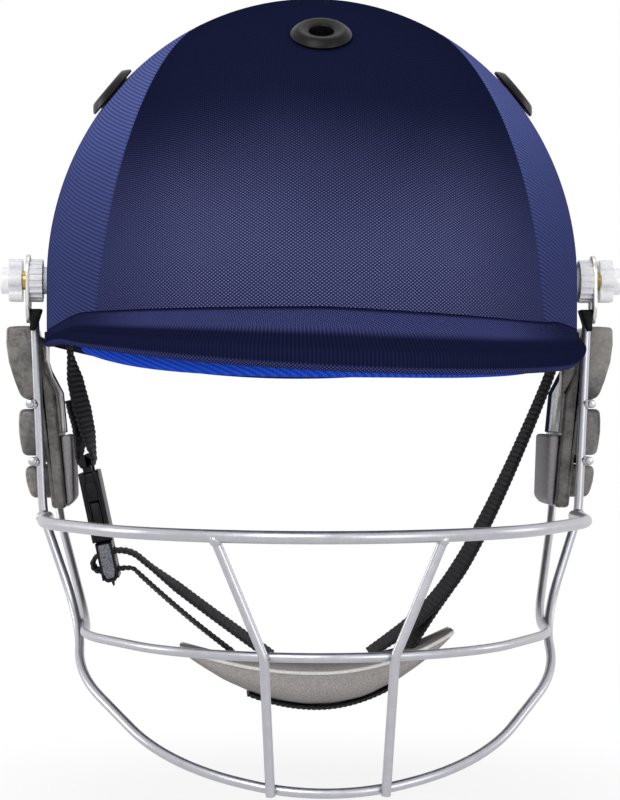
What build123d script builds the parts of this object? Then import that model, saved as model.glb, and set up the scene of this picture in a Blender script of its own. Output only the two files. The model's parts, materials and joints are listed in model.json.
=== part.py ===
import os
from math import asin, cos, degrees, pi, radians, sin, sqrt, tan

from build123d import *

os.makedirs("parts", exist_ok=True)

# Cricket helmet: a cloth-covered moulded shell with a peak, a padded lining, a welded wire grille
# that tilts and slides on two clamped side pivots, and a chin harness with a side-release buckle.
# The helmet faces -Y. The origin is the middle of the pivot axis, and X runs from side to side.

# Shell moulding and its cloth cover
shell_half_width = 101.3
shell_half_length = 126.0
shell_height = 107.3
shell_centre_y = 8.0
shell_wall = 3.0
shell_skirt = 60.0
cover_gap = 0.2
cover_thickness = 1.0
seam_gap = 0.4
overrun = 2.0

# Rim line of the shell in side view: front, side and nape
rim_front_z = -34.0
rim_side_z = -24.0
rim_nape_z = -36.0

# Seams between the middle panel and the side panels of the cover
seam_half_width = 57.9
seam_back_lean = 0.283
seam_up_lean = 0.166

# Peak: crease on the shell and outer rim in front of it
crease_z = -14.0
peak_end_y = -15.0
peak_side_reach = 0.5
peak_half_length = 148.0
peak_centre_y = -11.0
peak_rim_z = -35.4
peak_rim_rise = 4.5
peak_rim_height = 5.6
peak_land = 2.2
peak_rim_round = 2.4

# Trim around the rim of the shell
binding_thickness = 0.8
binding_height = 3.6

# Vent eyelets: crown, rear and the two sides
vent_front_y = -73.0
vent_rear_y = 92.0
vent_side_y = -12.0
vent_side_x = 76.0
eyelet_flange_radius = 11.0
eyelet_flange_height = 3.2
eyelet_barrel_radius = 7.6
eyelet_bore_radius = 4.5
eyelet_barrel_length = 7.0
eyelet_lip = 0.8
fit_gap = 0.2

# Impact liner, brow band and comfort pads
liner_thickness = 13.0
liner_rim_clearance = 5.0
brow_band_depth = 12.0
brow_band_top_z = -20.5
brow_band_front_z = -39.0
brow_band_rise = 9.8
brow_band_end_y = -45.0
pad_thickness = 8.0
pad_top_z = 34.0
pad_bottom_z = -16.0
brow_pad_half_width = 56.0
rear_pad_half_width = 52.0
side_pad_half_length = 38.0
side_pad_end_y = 14.0
crown_pad_radius = 40.0

# Side pivots, measured outwards from the middle plane
bolt_radius = 2.5
bolt_head_radius = 6.0
bolt_head_height = 1.8
washer_radius = 7.0
washer_thickness = 1.0
collar_radius = 5.25
spacer_radius = 8.3
collar_length = 2.3
spacer_length = 4.8
spacer_rib_count = 20
spacer_rib_radius = 0.55
bracket_thickness = 1.5
knob_gap = 1.45
knob_radius = 6.6
knob_lobe_radius = 2.4
knob_lobe_count = 6
knob_length = 5.0
knob_cap_radius = 5.2
knob_cap_length = 3.4
knob_edge_round = 0.8
insert_radius = 3.6
insert_depth = 5.8
bolt_depth = 6.4
running_clearance = 0.05
press_clearance = 0.03

# Bracket plate in side view
bracket_top_z = 10.0
bracket_bottom_z = -16.4
bracket_width = 14.0
bracket_slot_length = 10.0
bracket_slot_width = 5.4
lower_slot_z = -9.6
lower_slot_length = 7.4
lower_slot_width = 4.0

# Rubber buffer between each bracket and the shell
buffer_top_z = -11.0
buffer_bottom_z = -19.4
buffer_length_y = 10.0
buffer_gap = 2.55
buffer_round = 1.5

# Grille wires
frame_wire_radius = 1.75
bar_wire_radius = 1.65
upper_wire_radius = 2.2
weld_bite = 0.3
upright_splay = 3.4
upright_bend_z = -90.0
upright_bend_radius = 25.0
corner_inset = 12.7
corner_y = -12.0
corner_z = -131.0
hoop_inset = 1.1
hoop_front_y = -122.0
hoop_bottom_z = -178.0
mid_bar_z = -131.5
mid_bar_inset = 2.7
mid_bar_front_y = -132.0
upper_bar_z = -91.0
upper_bar_inset = 1.9
upper_bar_end_y = -1.2
upper_bar_centre_y = 2.0
upper_bar_front_y = -143.0
rear_upright_y = 54.0
rear_upright_bend_y = 49.0
rear_upright_bend_z = -92.0
rear_upright_top_z = -43.0
ellipse_sides = 5
bend_share = 0.47
side_bar_levels = (-47.5, -69.6)
side_bar_front_y = -3.2
side_bar_back_y = 57.5
strut_top_x = 37.7
strut_bend_x = 21.8
strut_foot_x = 19.4
strut_bend_radius = 9.0
strut_foot_drop = 2.0

# Ear guards
guard_front_y = 3.0
guard_back_y = 47.0
guard_top_z = -21.2
guard_bottom_z = -88.0
guard_top_reach = 6.5
guard_bottom_reach = -0.8
guard_clearance = 2.9
guard_shoulder_clearance = 2.7
guard_shoulder_z = -33.0
guard_waist_clearance = -2.1
guard_waist_z = -43.0
guard_foot_clearance = -6.3
guard_corner = 9.0
lobe_clearance = 0.35
lobe_front_inset = 3.0
lobe_top_z = -17.2
lobe_bottom_z = -84.0
lobe_bulge = 0.9
lobe_top_reaches = (17.2, 12.0, 9.6)
lobe_bottom_reaches = (12.6, 10.6, 7.2)
ear_pad_top_z = -59.5
ear_pad_top_inset = 8.3
ear_pad_bottom_inset = 9.3
ear_pad_round = 1.5
ear_lining_thickness = 1.0
ear_lining_top_z = -34.0
ear_lining_inset = 2.5
joint_gap = 0.3

# Chin harness
webbing_width = 19.0
webbing_thickness = 1.7
rivet_z = -17.2
rivet_radius = 2.0
rivet_head_radius = 3.0
rivet_head_height = 0.8
strap_inset = 7.1
strap_end_drop = 9.5
doubled_length = 24.0
doubled_gap = 0.4
buckle_bar_inset = 7.4
buckle_bar_z = -69.2
buckle_bar_radius = 1.7
buckle_tilt = 12.0
buckle_width = 25.0
buckle_thickness = 7.7
buckle_ear = 3.0
socket_top = 4.4
socket_length = 27.0
socket_cavity_width = 19.0
socket_cavity_height = 4.0
socket_cavity_depth = 23.0
window_top = 11.0
window_length = 12.0
tongue_plate_length = 17.0
tongue_plate_width = 23.0
tongue_plate_height = 6.4
tongue_slot_length = 19.8
tongue_slot_height = 2.6
tongue_slot_first = 4.4
tongue_slot_second = 11.6
tongue_guide_width = 7.0
tongue_guide_length = 19.0
tongue_guide_height = 3.4
prong_inner = 7.0
prong_outer = 9.2
prong_thickness = 3.4
prong_pad_reach = 12.2
prong_pad_inset = 1.0
buckle_round = 1.4
tongue_gap = 0.4
cup_half_width = 52.5
cup_tip_z = -138.0
cup_top_z = -145.0
cup_bottom_z = -162.5
cup_depth = 32.0
cup_tip_height = 3.0
cup_strap_half_width = 29.0
upper_strand_knots = ((-36.0, -130.3), (-62.0, -110.6))
lower_strand_knots = ((-66.5, -113.4), (-47.0, -130.6))
upper_strand_foot = (-18.5, -142.6)
lower_strand_foot = (-33.5, -140.8)
strand_exit = 8.5
strand_loop = 6.0
right_strap_knots = ((93.2, -36.0), (64.5, -100.5))
right_strap_bend = (45.5, -128.0)
right_strap_foot = (25.0, -141.6)
right_strap_second_foot = (38.0, -139.6)

# Worked out from the sizes above
quarter_turn = 90
half_turn = 2 * quarter_turn
peak_half_width = shell_half_width + peak_side_reach
spacer_start = shell_half_width + collar_length
strap_x = shell_half_width - strap_inset
buckle_bar_x = strap_x - buckle_bar_inset
cover_inner = cover_gap
cover_outer = cover_gap + cover_thickness
liner_outer = -shell_wall - fit_gap
liner_inner = liner_outer - liner_thickness
pad_outer = liner_inner - fit_gap
pad_inner = pad_outer - pad_thickness
bracket_start = spacer_start + spacer_length + running_clearance
bracket_end = bracket_start + bracket_thickness
knob_start = bracket_end + knob_gap
insert_wall_end = knob_start + insert_depth
bolt_end = knob_start + bolt_depth
buffer_start = shell_half_width + buffer_gap
corner_x = shell_half_width - corner_inset
hoop_half_width = corner_x - hoop_inset
rim_reach = shell_half_length + cover_outer + overrun
skirt_bottom_z = -shell_skirt
sides = ((-1, "left"), (1, "right"))


def keep(builder, name):
    """Label a finished piece and write it."""
    builder.part.label = name
    export_step(builder.part, f"parts/{name}.step")


def dome(grow):
    """The dome of the helmet, its surface moved outwards by grow, down to the end of the skirt."""
    half_width = shell_half_width + grow
    half_length = shell_half_length + grow
    height = shell_height + grow
    with BuildPart() as body:
        with BuildSketch(Plane.XZ):
            with BuildLine():
                Polyline((0, height), (0, skirt_bottom_z), (half_width, skirt_bottom_z), (half_width, 0))
                EllipticalCenterArc((0, 0), half_width, height, arc_size=quarter_turn)
            make_face()
        revolve(axis=Axis.Z)
        scale(by=(1, half_length / half_width, 1))
    return body.part.moved(Location((0, shell_centre_y, 0)))


def below_rim(lift):
    """Everything below the rim line of the shell, with the line raised by lift."""
    front_y = shell_centre_y - rim_reach
    back_y = shell_centre_y + rim_reach
    floor_z = skirt_bottom_z - overrun
    with BuildPart() as body:
        with BuildSketch(Plane.YZ):
            with BuildLine():
                ThreePointArc(
                    (front_y, rim_front_z + lift),
                    (shell_centre_y, rim_side_z + lift),
                    (back_y, rim_nape_z + lift),
                )
                Polyline(
                    (back_y, rim_nape_z + lift),
                    (back_y, floor_z),
                    (front_y, floor_z),
                    (front_y, rim_front_z + lift),
                )
            make_face()
        extrude(amount=rim_reach, both=True)
    return body.part


def block(low, high):
    """A plain block between two corners, used to trim other shapes."""
    size = [b - a for a, b in zip(low, high)]
    middle = [(a + b) / 2 for a, b in zip(low, high)]
    return Pos(*middle) * Box(*size, mode=Mode.PRIVATE)


def seam_side(side, shift):
    """The space outside one seam of the cover, moved outwards by shift."""
    length = 2 * rim_reach
    normal = Vector(side, seam_back_lean, seam_up_lean).normalized()
    on_seam = Vector(side * seam_half_width, 0, 0) + normal * shift
    with BuildPart() as body:
        with BuildSketch(Plane(origin=on_seam, z_dir=normal)):
            Rectangle(2 * length, 2 * length)
        extrude(amount=length)
    return body.part


def front_ellipse(half_width, half_length, centre_y, cut_y):
    """The part of an ellipse in front of cut_y, drawn in the sketch that is open."""
    with Locations((0, centre_y)):
        Ellipse(half_width, half_length)
    with Locations((0, cut_y + rim_reach)):
        Rectangle(2 * rim_reach, 2 * rim_reach, mode=Mode.SUBTRACT)


def brim(grow):
    """The peak as a solid: a cone from the crease to a thick rim, hollow below, grown by grow."""
    wall = cover_outer if grow else 0
    land = peak_land + grow
    rim_plane = Plane((0, peak_centre_y, 0)).rotated((peak_rim_rise, 0, 0))
    rim_depth = peak_rim_z + peak_half_length * sin(radians(peak_rim_rise))
    rim_top = rim_depth + peak_rim_height + grow
    end_y = peak_end_y + grow - cover_outer
    cut_y = end_y + overrun
    rim_cut_y = cut_y - peak_centre_y
    behind_end = block((-rim_reach, end_y, -shell_skirt), (rim_reach, cut_y + rim_reach, shell_skirt))
    with BuildPart() as body:
        with BuildSketch(Plane.XY.offset(crease_z + grow)):
            front_ellipse(shell_half_width + wall, shell_half_length + wall, shell_centre_y, cut_y)
        with BuildSketch(rim_plane.offset(rim_top)):
            front_ellipse(peak_half_width + grow, peak_half_length + grow, 0, rim_cut_y)
        loft(ruled=True)
        with BuildSketch(rim_plane.offset(rim_top)):
            front_ellipse(peak_half_width + grow, peak_half_length + grow, 0, rim_cut_y)
        extrude(amount=-(peak_rim_height + 2 * grow))
        add(behind_end, mode=Mode.SUBTRACT)
        long_edges = body.edges().filter_by(lambda edge: edge.length > peak_half_length)
        rim_edges = long_edges.filter_by(GeomType.ELLIPSE).sort_by(Axis.Z)[0:2]
        fillet(rim_edges, radius=peak_rim_round + grow)
    with BuildPart() as under:
        with BuildSketch(Plane.XY.offset(crease_z - peak_rim_height - grow)):
            front_ellipse(shell_half_width - grow, shell_half_length - grow, shell_centre_y, cut_y)
        with BuildSketch(rim_plane.offset(rim_depth - grow - overrun)):
            front_ellipse(peak_half_width - land, peak_half_length - land, 0, rim_cut_y)
        loft(ruled=True)
    return body.part - under.part


def vent_plane(x, y):
    """A plane that touches the cover of the dome above the point x, y."""
    half_width = shell_half_width + cover_outer
    half_length = shell_half_length + cover_outer
    height = shell_height + cover_outer
    depth_y = y - shell_centre_y
    z = height * sqrt(1 - (x / half_width) ** 2 - (depth_y / half_length) ** 2)
    normal = Vector(x / half_width ** 2, depth_y / half_length ** 2, z / height ** 2)
    return Plane(origin=(x, y, z), z_dir=normal)


vent_planes = {
    "crown": vent_plane(0, vent_front_y),
    "rear": vent_plane(0, vent_rear_y),
    "left": vent_plane(-vent_side_x, vent_side_y),
    "right": vent_plane(vent_side_x, vent_side_y),
}


def vent_holes(radius, depth):
    """One hole through the dome wall at each vent, square to the surface."""
    with BuildPart() as body:
        for plane in vent_planes.values():
            with BuildSketch(plane.offset(overrun)):
                Circle(radius)
            extrude(amount=-(depth + overrun))
    return body.part


def pivot_plane(distance):
    """The plane square to the right-hand pivot axis, at a distance from the middle."""
    return Plane(origin=(distance, 0, 0), x_dir=(0, 1, 0), z_dir=(1, 0, 0))


def side_plane(y):
    """An upright plane across the helmet at y, with x to the right and z up."""
    return Plane.XZ.offset(-y)


def keep_pair(builder, name):
    """Keep a piece of the right side and its mirror image on the left."""
    left = builder.part.mirror(Plane.YZ)
    keep(builder, f"{name}_right")
    left.label = f"{name}_left"
    export_step(left, f"parts/{name}_left.step")


# Shell moulding with its peak, bolt holes and vent holes
shell_outside = dome(0)
shell_inside = dome(-shell_wall)
rim_cut = below_rim(0)
peak_core = brim(0) - shell_inside
barrel_holes = vent_holes(eyelet_barrel_radius + fit_gap, eyelet_barrel_length)
with BuildPart() as shell:
    add(shell_outside)
    add(shell_inside, mode=Mode.SUBTRACT)
    add(rim_cut, mode=Mode.SUBTRACT)
    add(peak_core)
    with BuildSketch(Plane.YZ):
        Circle(bolt_radius + running_clearance)
    extrude(amount=rim_reach, both=True, mode=Mode.SUBTRACT)
    add(barrel_holes, mode=Mode.SUBTRACT)
keep(shell, "shell")

# Cloth cover of the dome in three panels, and of the peak
skin_outside = dome(cover_outer)
skin_inside = dome(cover_inner)
under_crease = block(
    (-rim_reach, -rim_reach, skirt_bottom_z),
    (rim_reach, peak_end_y + fit_gap, crease_z + cover_outer + fit_gap),
)
seam_outside = {tag: seam_side(side, seam_gap / 2) for side, tag in sides}
seam_beyond = {tag: seam_side(side, -seam_gap / 2) for side, tag in sides}
with BuildPart() as skin:
    add(skin_outside)
    add(skin_inside, mode=Mode.SUBTRACT)
    add(rim_cut, mode=Mode.SUBTRACT)
    add(under_crease, mode=Mode.SUBTRACT)
    with BuildSketch(Plane.YZ):
        Circle(collar_radius + fit_gap)
    extrude(amount=rim_reach, both=True, mode=Mode.SUBTRACT)
    add(barrel_holes, mode=Mode.SUBTRACT)

with BuildPart() as cover_centre:
    add(skin.part)
    for side, tag in sides:
        add(seam_beyond[tag], mode=Mode.SUBTRACT)
keep(cover_centre, "cover_centre")

for side, tag in sides:
    with BuildPart() as cover_side:
        add(skin.part)
        add(seam_outside[tag], mode=Mode.INTERSECT)
    keep(cover_side, f"cover_{tag}")

peak_outside = brim(cover_outer)
peak_inside = brim(cover_inner)
skin_keep_out = dome(cover_outer + fit_gap)
with BuildPart() as peak_cover:
    add(peak_outside)
    add(peak_inside, mode=Mode.SUBTRACT)
    add(skin_keep_out, mode=Mode.SUBTRACT)
keep(peak_cover, "peak_cover")

# Trim folded over the rim of the shell, interrupted by the ends of the peak
binding_inner = -shell_wall - fit_gap - binding_thickness
binding_outside = dome(cover_outer + fit_gap + binding_thickness)
binding_inside = dome(binding_inner)
shell_keep_out = skin_keep_out - dome(-shell_wall - fit_gap) - below_rim(-fit_gap)
below_binding = below_rim(-fit_gap - binding_thickness)
binding_zone = below_rim(binding_height)
peak_keep_out = brim(cover_outer + fit_gap)
with BuildPart() as whole_binding:
    add(binding_outside)
    add(binding_inside, mode=Mode.SUBTRACT)
    add(below_binding, mode=Mode.SUBTRACT)
    add(binding_zone, mode=Mode.INTERSECT)
    add(shell_keep_out, mode=Mode.SUBTRACT)
    add(peak_keep_out, mode=Mode.SUBTRACT)
with BuildPart() as rim_binding:
    add(whole_binding.solids().sort_by(SortBy.VOLUME)[-1])
keep(rim_binding, "rim_binding")

# Impact liner with pockets for the bolt heads and strap ends
pocket_floor_x = strap_x - webbing_thickness / 2 - rivet_head_height - 2 * fit_gap - joint_gap
pocket_half_length = webbing_width + bolt_head_radius - overrun / 2
pocket_top_z = washer_radius + overrun
liner_outside = dome(liner_outer)
liner_inside = dome(liner_inner)
liner_rim_cut = below_rim(liner_rim_clearance)
band_room = block(
    (-rim_reach, -rim_reach, skirt_bottom_z),
    (rim_reach, brow_band_end_y + joint_gap, brow_band_top_z + joint_gap),
)
pocket = block(
    (pocket_floor_x, -pocket_half_length, skirt_bottom_z), (rim_reach, pocket_half_length, pocket_top_z)
)
air_holes = vent_holes(eyelet_bore_radius + eyelet_lip, 2 * liner_thickness)
with BuildPart() as impact_liner:
    add(liner_outside)
    add(liner_inside, mode=Mode.SUBTRACT)
    add(liner_rim_cut, mode=Mode.SUBTRACT)
    add(band_room, mode=Mode.SUBTRACT)
    add(pocket, mode=Mode.SUBTRACT)
    add(pocket.mirror(Plane.YZ), mode=Mode.SUBTRACT)
    add(air_holes, mode=Mode.SUBTRACT)
    add(barrel_holes, mode=Mode.SUBTRACT)
keep(impact_liner, "impact_liner")

# Blue brow band under the front of the shell, lowest at the middle
band_outer = binding_inner - fit_gap
band_front_y = shell_centre_y - shell_half_length - band_outer
band_outside = dome(band_outer)
band_inside = dome(band_outer - brow_band_depth)
band_zone = block((-rim_reach, -rim_reach, skirt_bottom_z), (rim_reach, brow_band_end_y, brow_band_top_z))
with BuildPart() as brow_band:
    add(band_outside)
    add(band_inside, mode=Mode.SUBTRACT)
    add(band_zone, mode=Mode.INTERSECT)
    with BuildSketch(Plane((0, band_front_y, brow_band_front_z)).rotated((brow_band_rise, 0, 0))):
        Rectangle(2 * rim_reach, 2 * rim_reach)
    extrude(amount=-shell_skirt, mode=Mode.SUBTRACT)
keep(brow_band, "brow_band")

# Comfort pads inside the liner
pad_layer = dome(pad_outer) - dome(pad_inner)
side_pad_low_y = shell_centre_y - side_pad_half_length
side_pad_high_y = shell_centre_y + side_pad_half_length
brow_pad_back_y = side_pad_low_y - side_pad_end_y
rear_pad_front_y = side_pad_high_y + side_pad_end_y
brow_pad_zone = block(
    (-brow_pad_half_width, -rim_reach, pad_bottom_z), (brow_pad_half_width, brow_pad_back_y, pad_top_z)
)
rear_pad_zone = block(
    (-rear_pad_half_width, rear_pad_front_y, pad_bottom_z), (rear_pad_half_width, rim_reach, pad_top_z)
)
side_pad_zone = block((0, side_pad_low_y, pad_bottom_z), (rim_reach, side_pad_high_y, pad_top_z))
with BuildPart() as brow_pad:
    add(pad_layer)
    add(brow_pad_zone, mode=Mode.INTERSECT)
keep(brow_pad, "brow_pad")

with BuildPart() as rear_pad:
    add(pad_layer)
    add(rear_pad_zone, mode=Mode.INTERSECT)
keep(rear_pad, "rear_pad")

with BuildPart() as side_pad:
    add(pad_layer)
    add(side_pad_zone, mode=Mode.INTERSECT)
keep_pair(side_pad, "side_pad")

with BuildPart() as crown_pad:
    add(pad_layer)
    with BuildSketch(Plane.XY):
        with Locations((0, shell_centre_y)):
            Circle(crown_pad_radius)
    extrude(amount=shell_height, mode=Mode.INTERSECT)
keep(crown_pad, "crown_pad")

# Vent eyelets: a domed flange on the cover and a barrel through the wall
with BuildPart() as eyelet:
    with BuildSketch(Plane.XZ):
        with BuildLine():
            Polyline(
                (eyelet_bore_radius, eyelet_flange_height - eyelet_lip),
                (eyelet_bore_radius, -eyelet_barrel_length),
                (eyelet_barrel_radius, -eyelet_barrel_length),
                (eyelet_barrel_radius, fit_gap),
                (eyelet_flange_radius, fit_gap),
                (eyelet_flange_radius, eyelet_lip),
            )
            ThreePointArc(
                (eyelet_flange_radius, eyelet_lip),
                (eyelet_barrel_radius, eyelet_flange_height),
                (eyelet_bore_radius, eyelet_flange_height - eyelet_lip),
            )
        make_face()
    revolve(axis=Axis.Z)
for tag, plane in vent_planes.items():
    with BuildPart() as placed:
        add(eyelet.part.moved(plane.location))
    keep(placed, f"vent_eyelet_{tag}")

# Pivot bolts, washers and collars, fixed to the shell
shell_inner_at_pivot = (shell_half_width - shell_wall) * sqrt(
    1 - ((shell_centre_y + washer_radius) / (shell_half_length - shell_wall)) ** 2
)
washer_start = shell_inner_at_pivot - fit_gap - washer_thickness
collar_start = shell_half_width + press_clearance
with BuildPart() as pivot_bolt:
    with BuildSketch(pivot_plane(washer_start - bolt_head_height)):
        Circle(bolt_head_radius)
    extrude(amount=bolt_head_height)
    with BuildSketch(pivot_plane(washer_start)):
        Circle(bolt_radius)
    extrude(amount=bolt_end - washer_start)
keep_pair(pivot_bolt, "pivot_bolt")

with BuildPart() as pivot_washer:
    with BuildSketch(pivot_plane(washer_start)):
        Circle(washer_radius)
        Circle(bolt_radius + press_clearance, mode=Mode.SUBTRACT)
    extrude(amount=washer_thickness)
keep_pair(pivot_washer, "pivot_washer")

with BuildPart() as pivot_collar:
    with BuildSketch(pivot_plane(collar_start)):
        Circle(collar_radius)
        Circle(bolt_radius + press_clearance, mode=Mode.SUBTRACT)
    extrude(amount=spacer_start - running_clearance - collar_start)
keep_pair(pivot_collar, "pivot_collar")

# Ribbed spacers, which turn on the bolts with the grille
with BuildPart() as ribbed_spacer:
    with BuildSketch(pivot_plane(spacer_start)):
        Circle(spacer_radius - spacer_rib_radius)
        with PolarLocations(spacer_radius - spacer_rib_radius, spacer_rib_count):
            Circle(spacer_rib_radius)
        Circle(bolt_radius + running_clearance, mode=Mode.SUBTRACT)
    extrude(amount=spacer_length)
keep_pair(ribbed_spacer, "ribbed_spacer")

# Clamp knobs with brass inserts
insert_start = bracket_end + running_clearance
with BuildPart() as knob:
    with BuildSketch(pivot_plane(knob_start)):
        Circle(knob_radius)
        with PolarLocations(knob_radius, knob_lobe_count):
            Circle(knob_lobe_radius)
    extrude(amount=knob_length)
    with BuildSketch(pivot_plane(knob_start + knob_length)):
        Circle(knob_cap_radius)
    extrude(amount=knob_cap_length)
    fillet(knob.faces().sort_by(Axis.X)[-1].edges(), radius=knob_edge_round)
    with BuildSketch(pivot_plane(knob_start)):
        Circle(insert_radius + press_clearance)
    extrude(amount=insert_wall_end + press_clearance - knob_start, mode=Mode.SUBTRACT)
    with BuildSketch(pivot_plane(knob_start)):
        Circle(bolt_radius + running_clearance)
    extrude(amount=bolt_end + fit_gap - knob_start, mode=Mode.SUBTRACT)
keep_pair(knob, "knob")

with BuildPart() as knob_insert:
    with BuildSketch(pivot_plane(insert_start)):
        Circle(insert_radius)
        Circle(bolt_radius + running_clearance, mode=Mode.SUBTRACT)
    extrude(amount=insert_wall_end - insert_start)
keep_pair(knob_insert, "knob_insert")

# Steel brackets, each with a slot for the bolt and a second slot below it
bracket_middle_z = (bracket_top_z + bracket_bottom_z) / 2
with BuildPart() as bracket:
    with BuildSketch(pivot_plane(bracket_start)):
        with Locations((0, bracket_middle_z)):
            SlotOverall(bracket_top_z - bracket_bottom_z, bracket_width, rotation=quarter_turn)
        SlotOverall(bracket_slot_length, bracket_slot_width, rotation=quarter_turn, mode=Mode.SUBTRACT)
        with Locations((0, lower_slot_z)):
            SlotOverall(lower_slot_length, lower_slot_width, rotation=quarter_turn, mode=Mode.SUBTRACT)
    extrude(amount=bracket_thickness)
keep_pair(bracket, "bracket")

upright_top_x = bracket_start - frame_wire_radius + weld_bite
upright_top_z = lower_slot_z - lower_slot_length / 2
upright_bend_x = upright_top_x - upright_splay
groove_radius = frame_wire_radius + 2 * fit_gap
buffer_length_x = bracket_start - running_clearance - buffer_start
with BuildPart() as bracket_buffer:
    with BuildSketch(pivot_plane(buffer_start)):
        with Locations((0, (buffer_top_z + buffer_bottom_z) / 2)):
            RectangleRounded(buffer_length_y, buffer_top_z - buffer_bottom_z, buffer_round)
    extrude(amount=buffer_length_x)
    with BuildSketch(pivot_plane(upright_top_x - groove_radius)):
        with Locations((0, upright_top_z + groove_radius - shell_skirt / 2)):
            Rectangle(2 * groove_radius, shell_skirt)
    extrude(amount=buffer_length_x, mode=Mode.SUBTRACT)
keep_pair(bracket_buffer, "bracket_buffer")


def bend_radii(points):
    """The radius of the bend at each inner point, as large as its two runs allow."""
    radii = []
    for before, here, after in zip(points, points[1:], points[2:]):
        turn = (here - before).get_angle(after - here)
        run = min((here - before).length, (after - here).length)
        radii.append(bend_share * run / tan(radians(turn) / 2))
    return radii


def wire(points, radius, end_bend=0):
    """A round wire bent along a chain of points; end_bend is the radius of its outermost bends."""
    radii = bend_radii(points)
    if end_bend:
        radii[0] = end_bend
        radii[-1] = end_bend
    with BuildPart() as body:
        with BuildLine() as route:
            FilletPolyline(*points, radius=radii)
        with BuildSketch(Plane(origin=points[0], z_dir=points[1] - points[0])):
            Circle(radius)
        sweep(path=route.wires()[0])
    return body.part


def half_ellipse(half_width, depth, place):
    """Corners of a polygon around a half ellipse, from the right side to the left."""
    step = pi / ellipse_sides
    outwards = 1 / cos(step / 2)
    corners = []
    for number in range(ellipse_sides):
        angle = (number + 1 / 2) * step
        corners.append(place(half_width * outwards * cos(angle), depth * outwards * sin(angle)))
    return corners


def mirrored(point):
    """The same point on the other side of the middle plane."""
    return Vector(-point.X, point.Y, point.Z)


def upright_x(z):
    """Where the front upright stands at height z."""
    share = (z - upright_top_z) / (upright_bend_z - upright_top_z)
    return upright_top_x + share * (upright_bend_x - upright_top_x)


def rear_x(z):
    """Where the rear upright stands at height z."""
    share = (z - rear_upright_top_z) / (rear_upright_bend_z - rear_upright_top_z)
    return rear_top_x + share * (rear_bend_x - rear_top_x)


# Perimeter wire: both uprights and the hoop under the chin in one length
hoop_rise = Vector(0, hoop_front_y - corner_y, hoop_bottom_z - corner_z)
hoop_depth = hoop_rise.length
hoop_slope = hoop_rise.normalized()
perimeter_half = [
    Vector(upright_top_x, 0, upright_top_z),
    Vector(upright_bend_x, 0, upright_bend_z),
    Vector(corner_x, corner_y, corner_z),
]
hoop_corners = half_ellipse(
    hoop_half_width, hoop_depth, lambda u, v: Vector(u, corner_y, corner_z) + hoop_slope * v
)
perimeter_points = perimeter_half + hoop_corners + [mirrored(point) for point in reversed(perimeter_half)]
perimeter_wire = wire(perimeter_points, frame_wire_radius, upright_bend_radius)
with BuildPart() as perimeter_bar:
    add(perimeter_wire)
keep(perimeter_bar, "perimeter_bar")

# Middle bar with the rear uprights in one length, welded inside the perimeter wire
weld_step = frame_wire_radius + bar_wire_radius - weld_bite
mid_bar_half_width = corner_x - mid_bar_inset
rear_bend_x = upright_bend_x - weld_step
rear_top_x = upright_top_x - weld_step
rear_half = [
    Vector(rear_top_x, rear_upright_y, rear_upright_top_z),
    Vector(rear_bend_x, rear_upright_bend_y, rear_upright_bend_z),
    Vector(mid_bar_half_width, corner_y, mid_bar_z),
]
mid_bar_depth = corner_y - mid_bar_front_y
mid_corners = half_ellipse(
    mid_bar_half_width, mid_bar_depth, lambda u, v: Vector(u, corner_y - v, mid_bar_z)
)
mid_points = rear_half + mid_corners + [mirrored(point) for point in reversed(rear_half)]
mid_wire = wire(mid_points, bar_wire_radius, upright_bend_radius)
with BuildPart() as mid_bar:
    add(mid_wire)
keep(mid_bar, "mid_bar")

# Upper bar, thicker, its ends welded to the uprights just inside them
upper_bar_half_width = upright_bend_x - upper_bar_inset
upper_bar_depth = upper_bar_centre_y - upper_bar_front_y
upper_bar_end = Vector(upper_bar_half_width, upper_bar_end_y, upper_bar_z)
upper_corners = half_ellipse(
    upper_bar_half_width, upper_bar_depth, lambda u, v: Vector(u, upper_bar_centre_y - v, upper_bar_z)
)
upper_wire = wire([upper_bar_end] + upper_corners + [mirrored(upper_bar_end)], upper_wire_radius)
with BuildPart() as upper_bar:
    add(upper_wire)
keep(upper_bar, "upper_bar")

# Side bars: two on each side, welded outside the front and rear uprights
with BuildPart() as side_bars:
    for level in side_bar_levels:
        front = Vector(upright_x(level) + weld_step, side_bar_front_y, level)
        back = Vector(rear_x(level) + 2 * bar_wire_radius - weld_bite, side_bar_back_y, level)
        with BuildSketch(Plane(origin=front, z_dir=back - front)):
            Circle(bar_wire_radius)
        extrude(amount=(back - front).length)
keep_pair(side_bars, "side_bars")

# Front struts, hung from the upper bar, welded in front of the middle bar and the hoop


def ellipse_front(x, half_width, depth):
    """How far a half ellipse reaches forwards at x."""
    return depth * sqrt(1 - (x / half_width) ** 2)


strut_top_y = upper_bar_centre_y - ellipse_front(strut_top_x, upper_bar_half_width, upper_bar_depth)
strut_bend_y = corner_y - ellipse_front(strut_bend_x, mid_bar_half_width, mid_bar_depth)
strut_foot = Vector(strut_foot_x, corner_y, corner_z) + hoop_slope * ellipse_front(
    strut_foot_x, hoop_half_width, hoop_depth
)
strut_top = Vector(strut_top_x, strut_top_y, upper_bar_z - upper_wire_radius + weld_bite)
strut_bend = Vector(strut_bend_x, strut_bend_y - 2 * bar_wire_radius + weld_bite, mid_bar_z)
strut_end = strut_foot + Vector(0, -weld_step, -strut_foot_drop)
strut_wire = wire([strut_top, strut_bend, strut_end], bar_wire_radius, strut_bend_radius)
with BuildPart() as strut:
    add(strut_wire)
keep_pair(strut, "strut")


# Ear guards: a plate between the uprights, with lobes that bulge out between the side bars
guard_length = guard_back_y - guard_front_y
guard_middle_y = (guard_back_y + guard_front_y) / 2
guard_inner_face = (
    (shell_half_width + guard_clearance, guard_top_z),
    (shell_half_width + guard_shoulder_clearance, guard_shoulder_z),
    (shell_half_width + guard_waist_clearance, guard_waist_z),
    (shell_half_width + guard_foot_clearance, guard_bottom_z),
)


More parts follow.
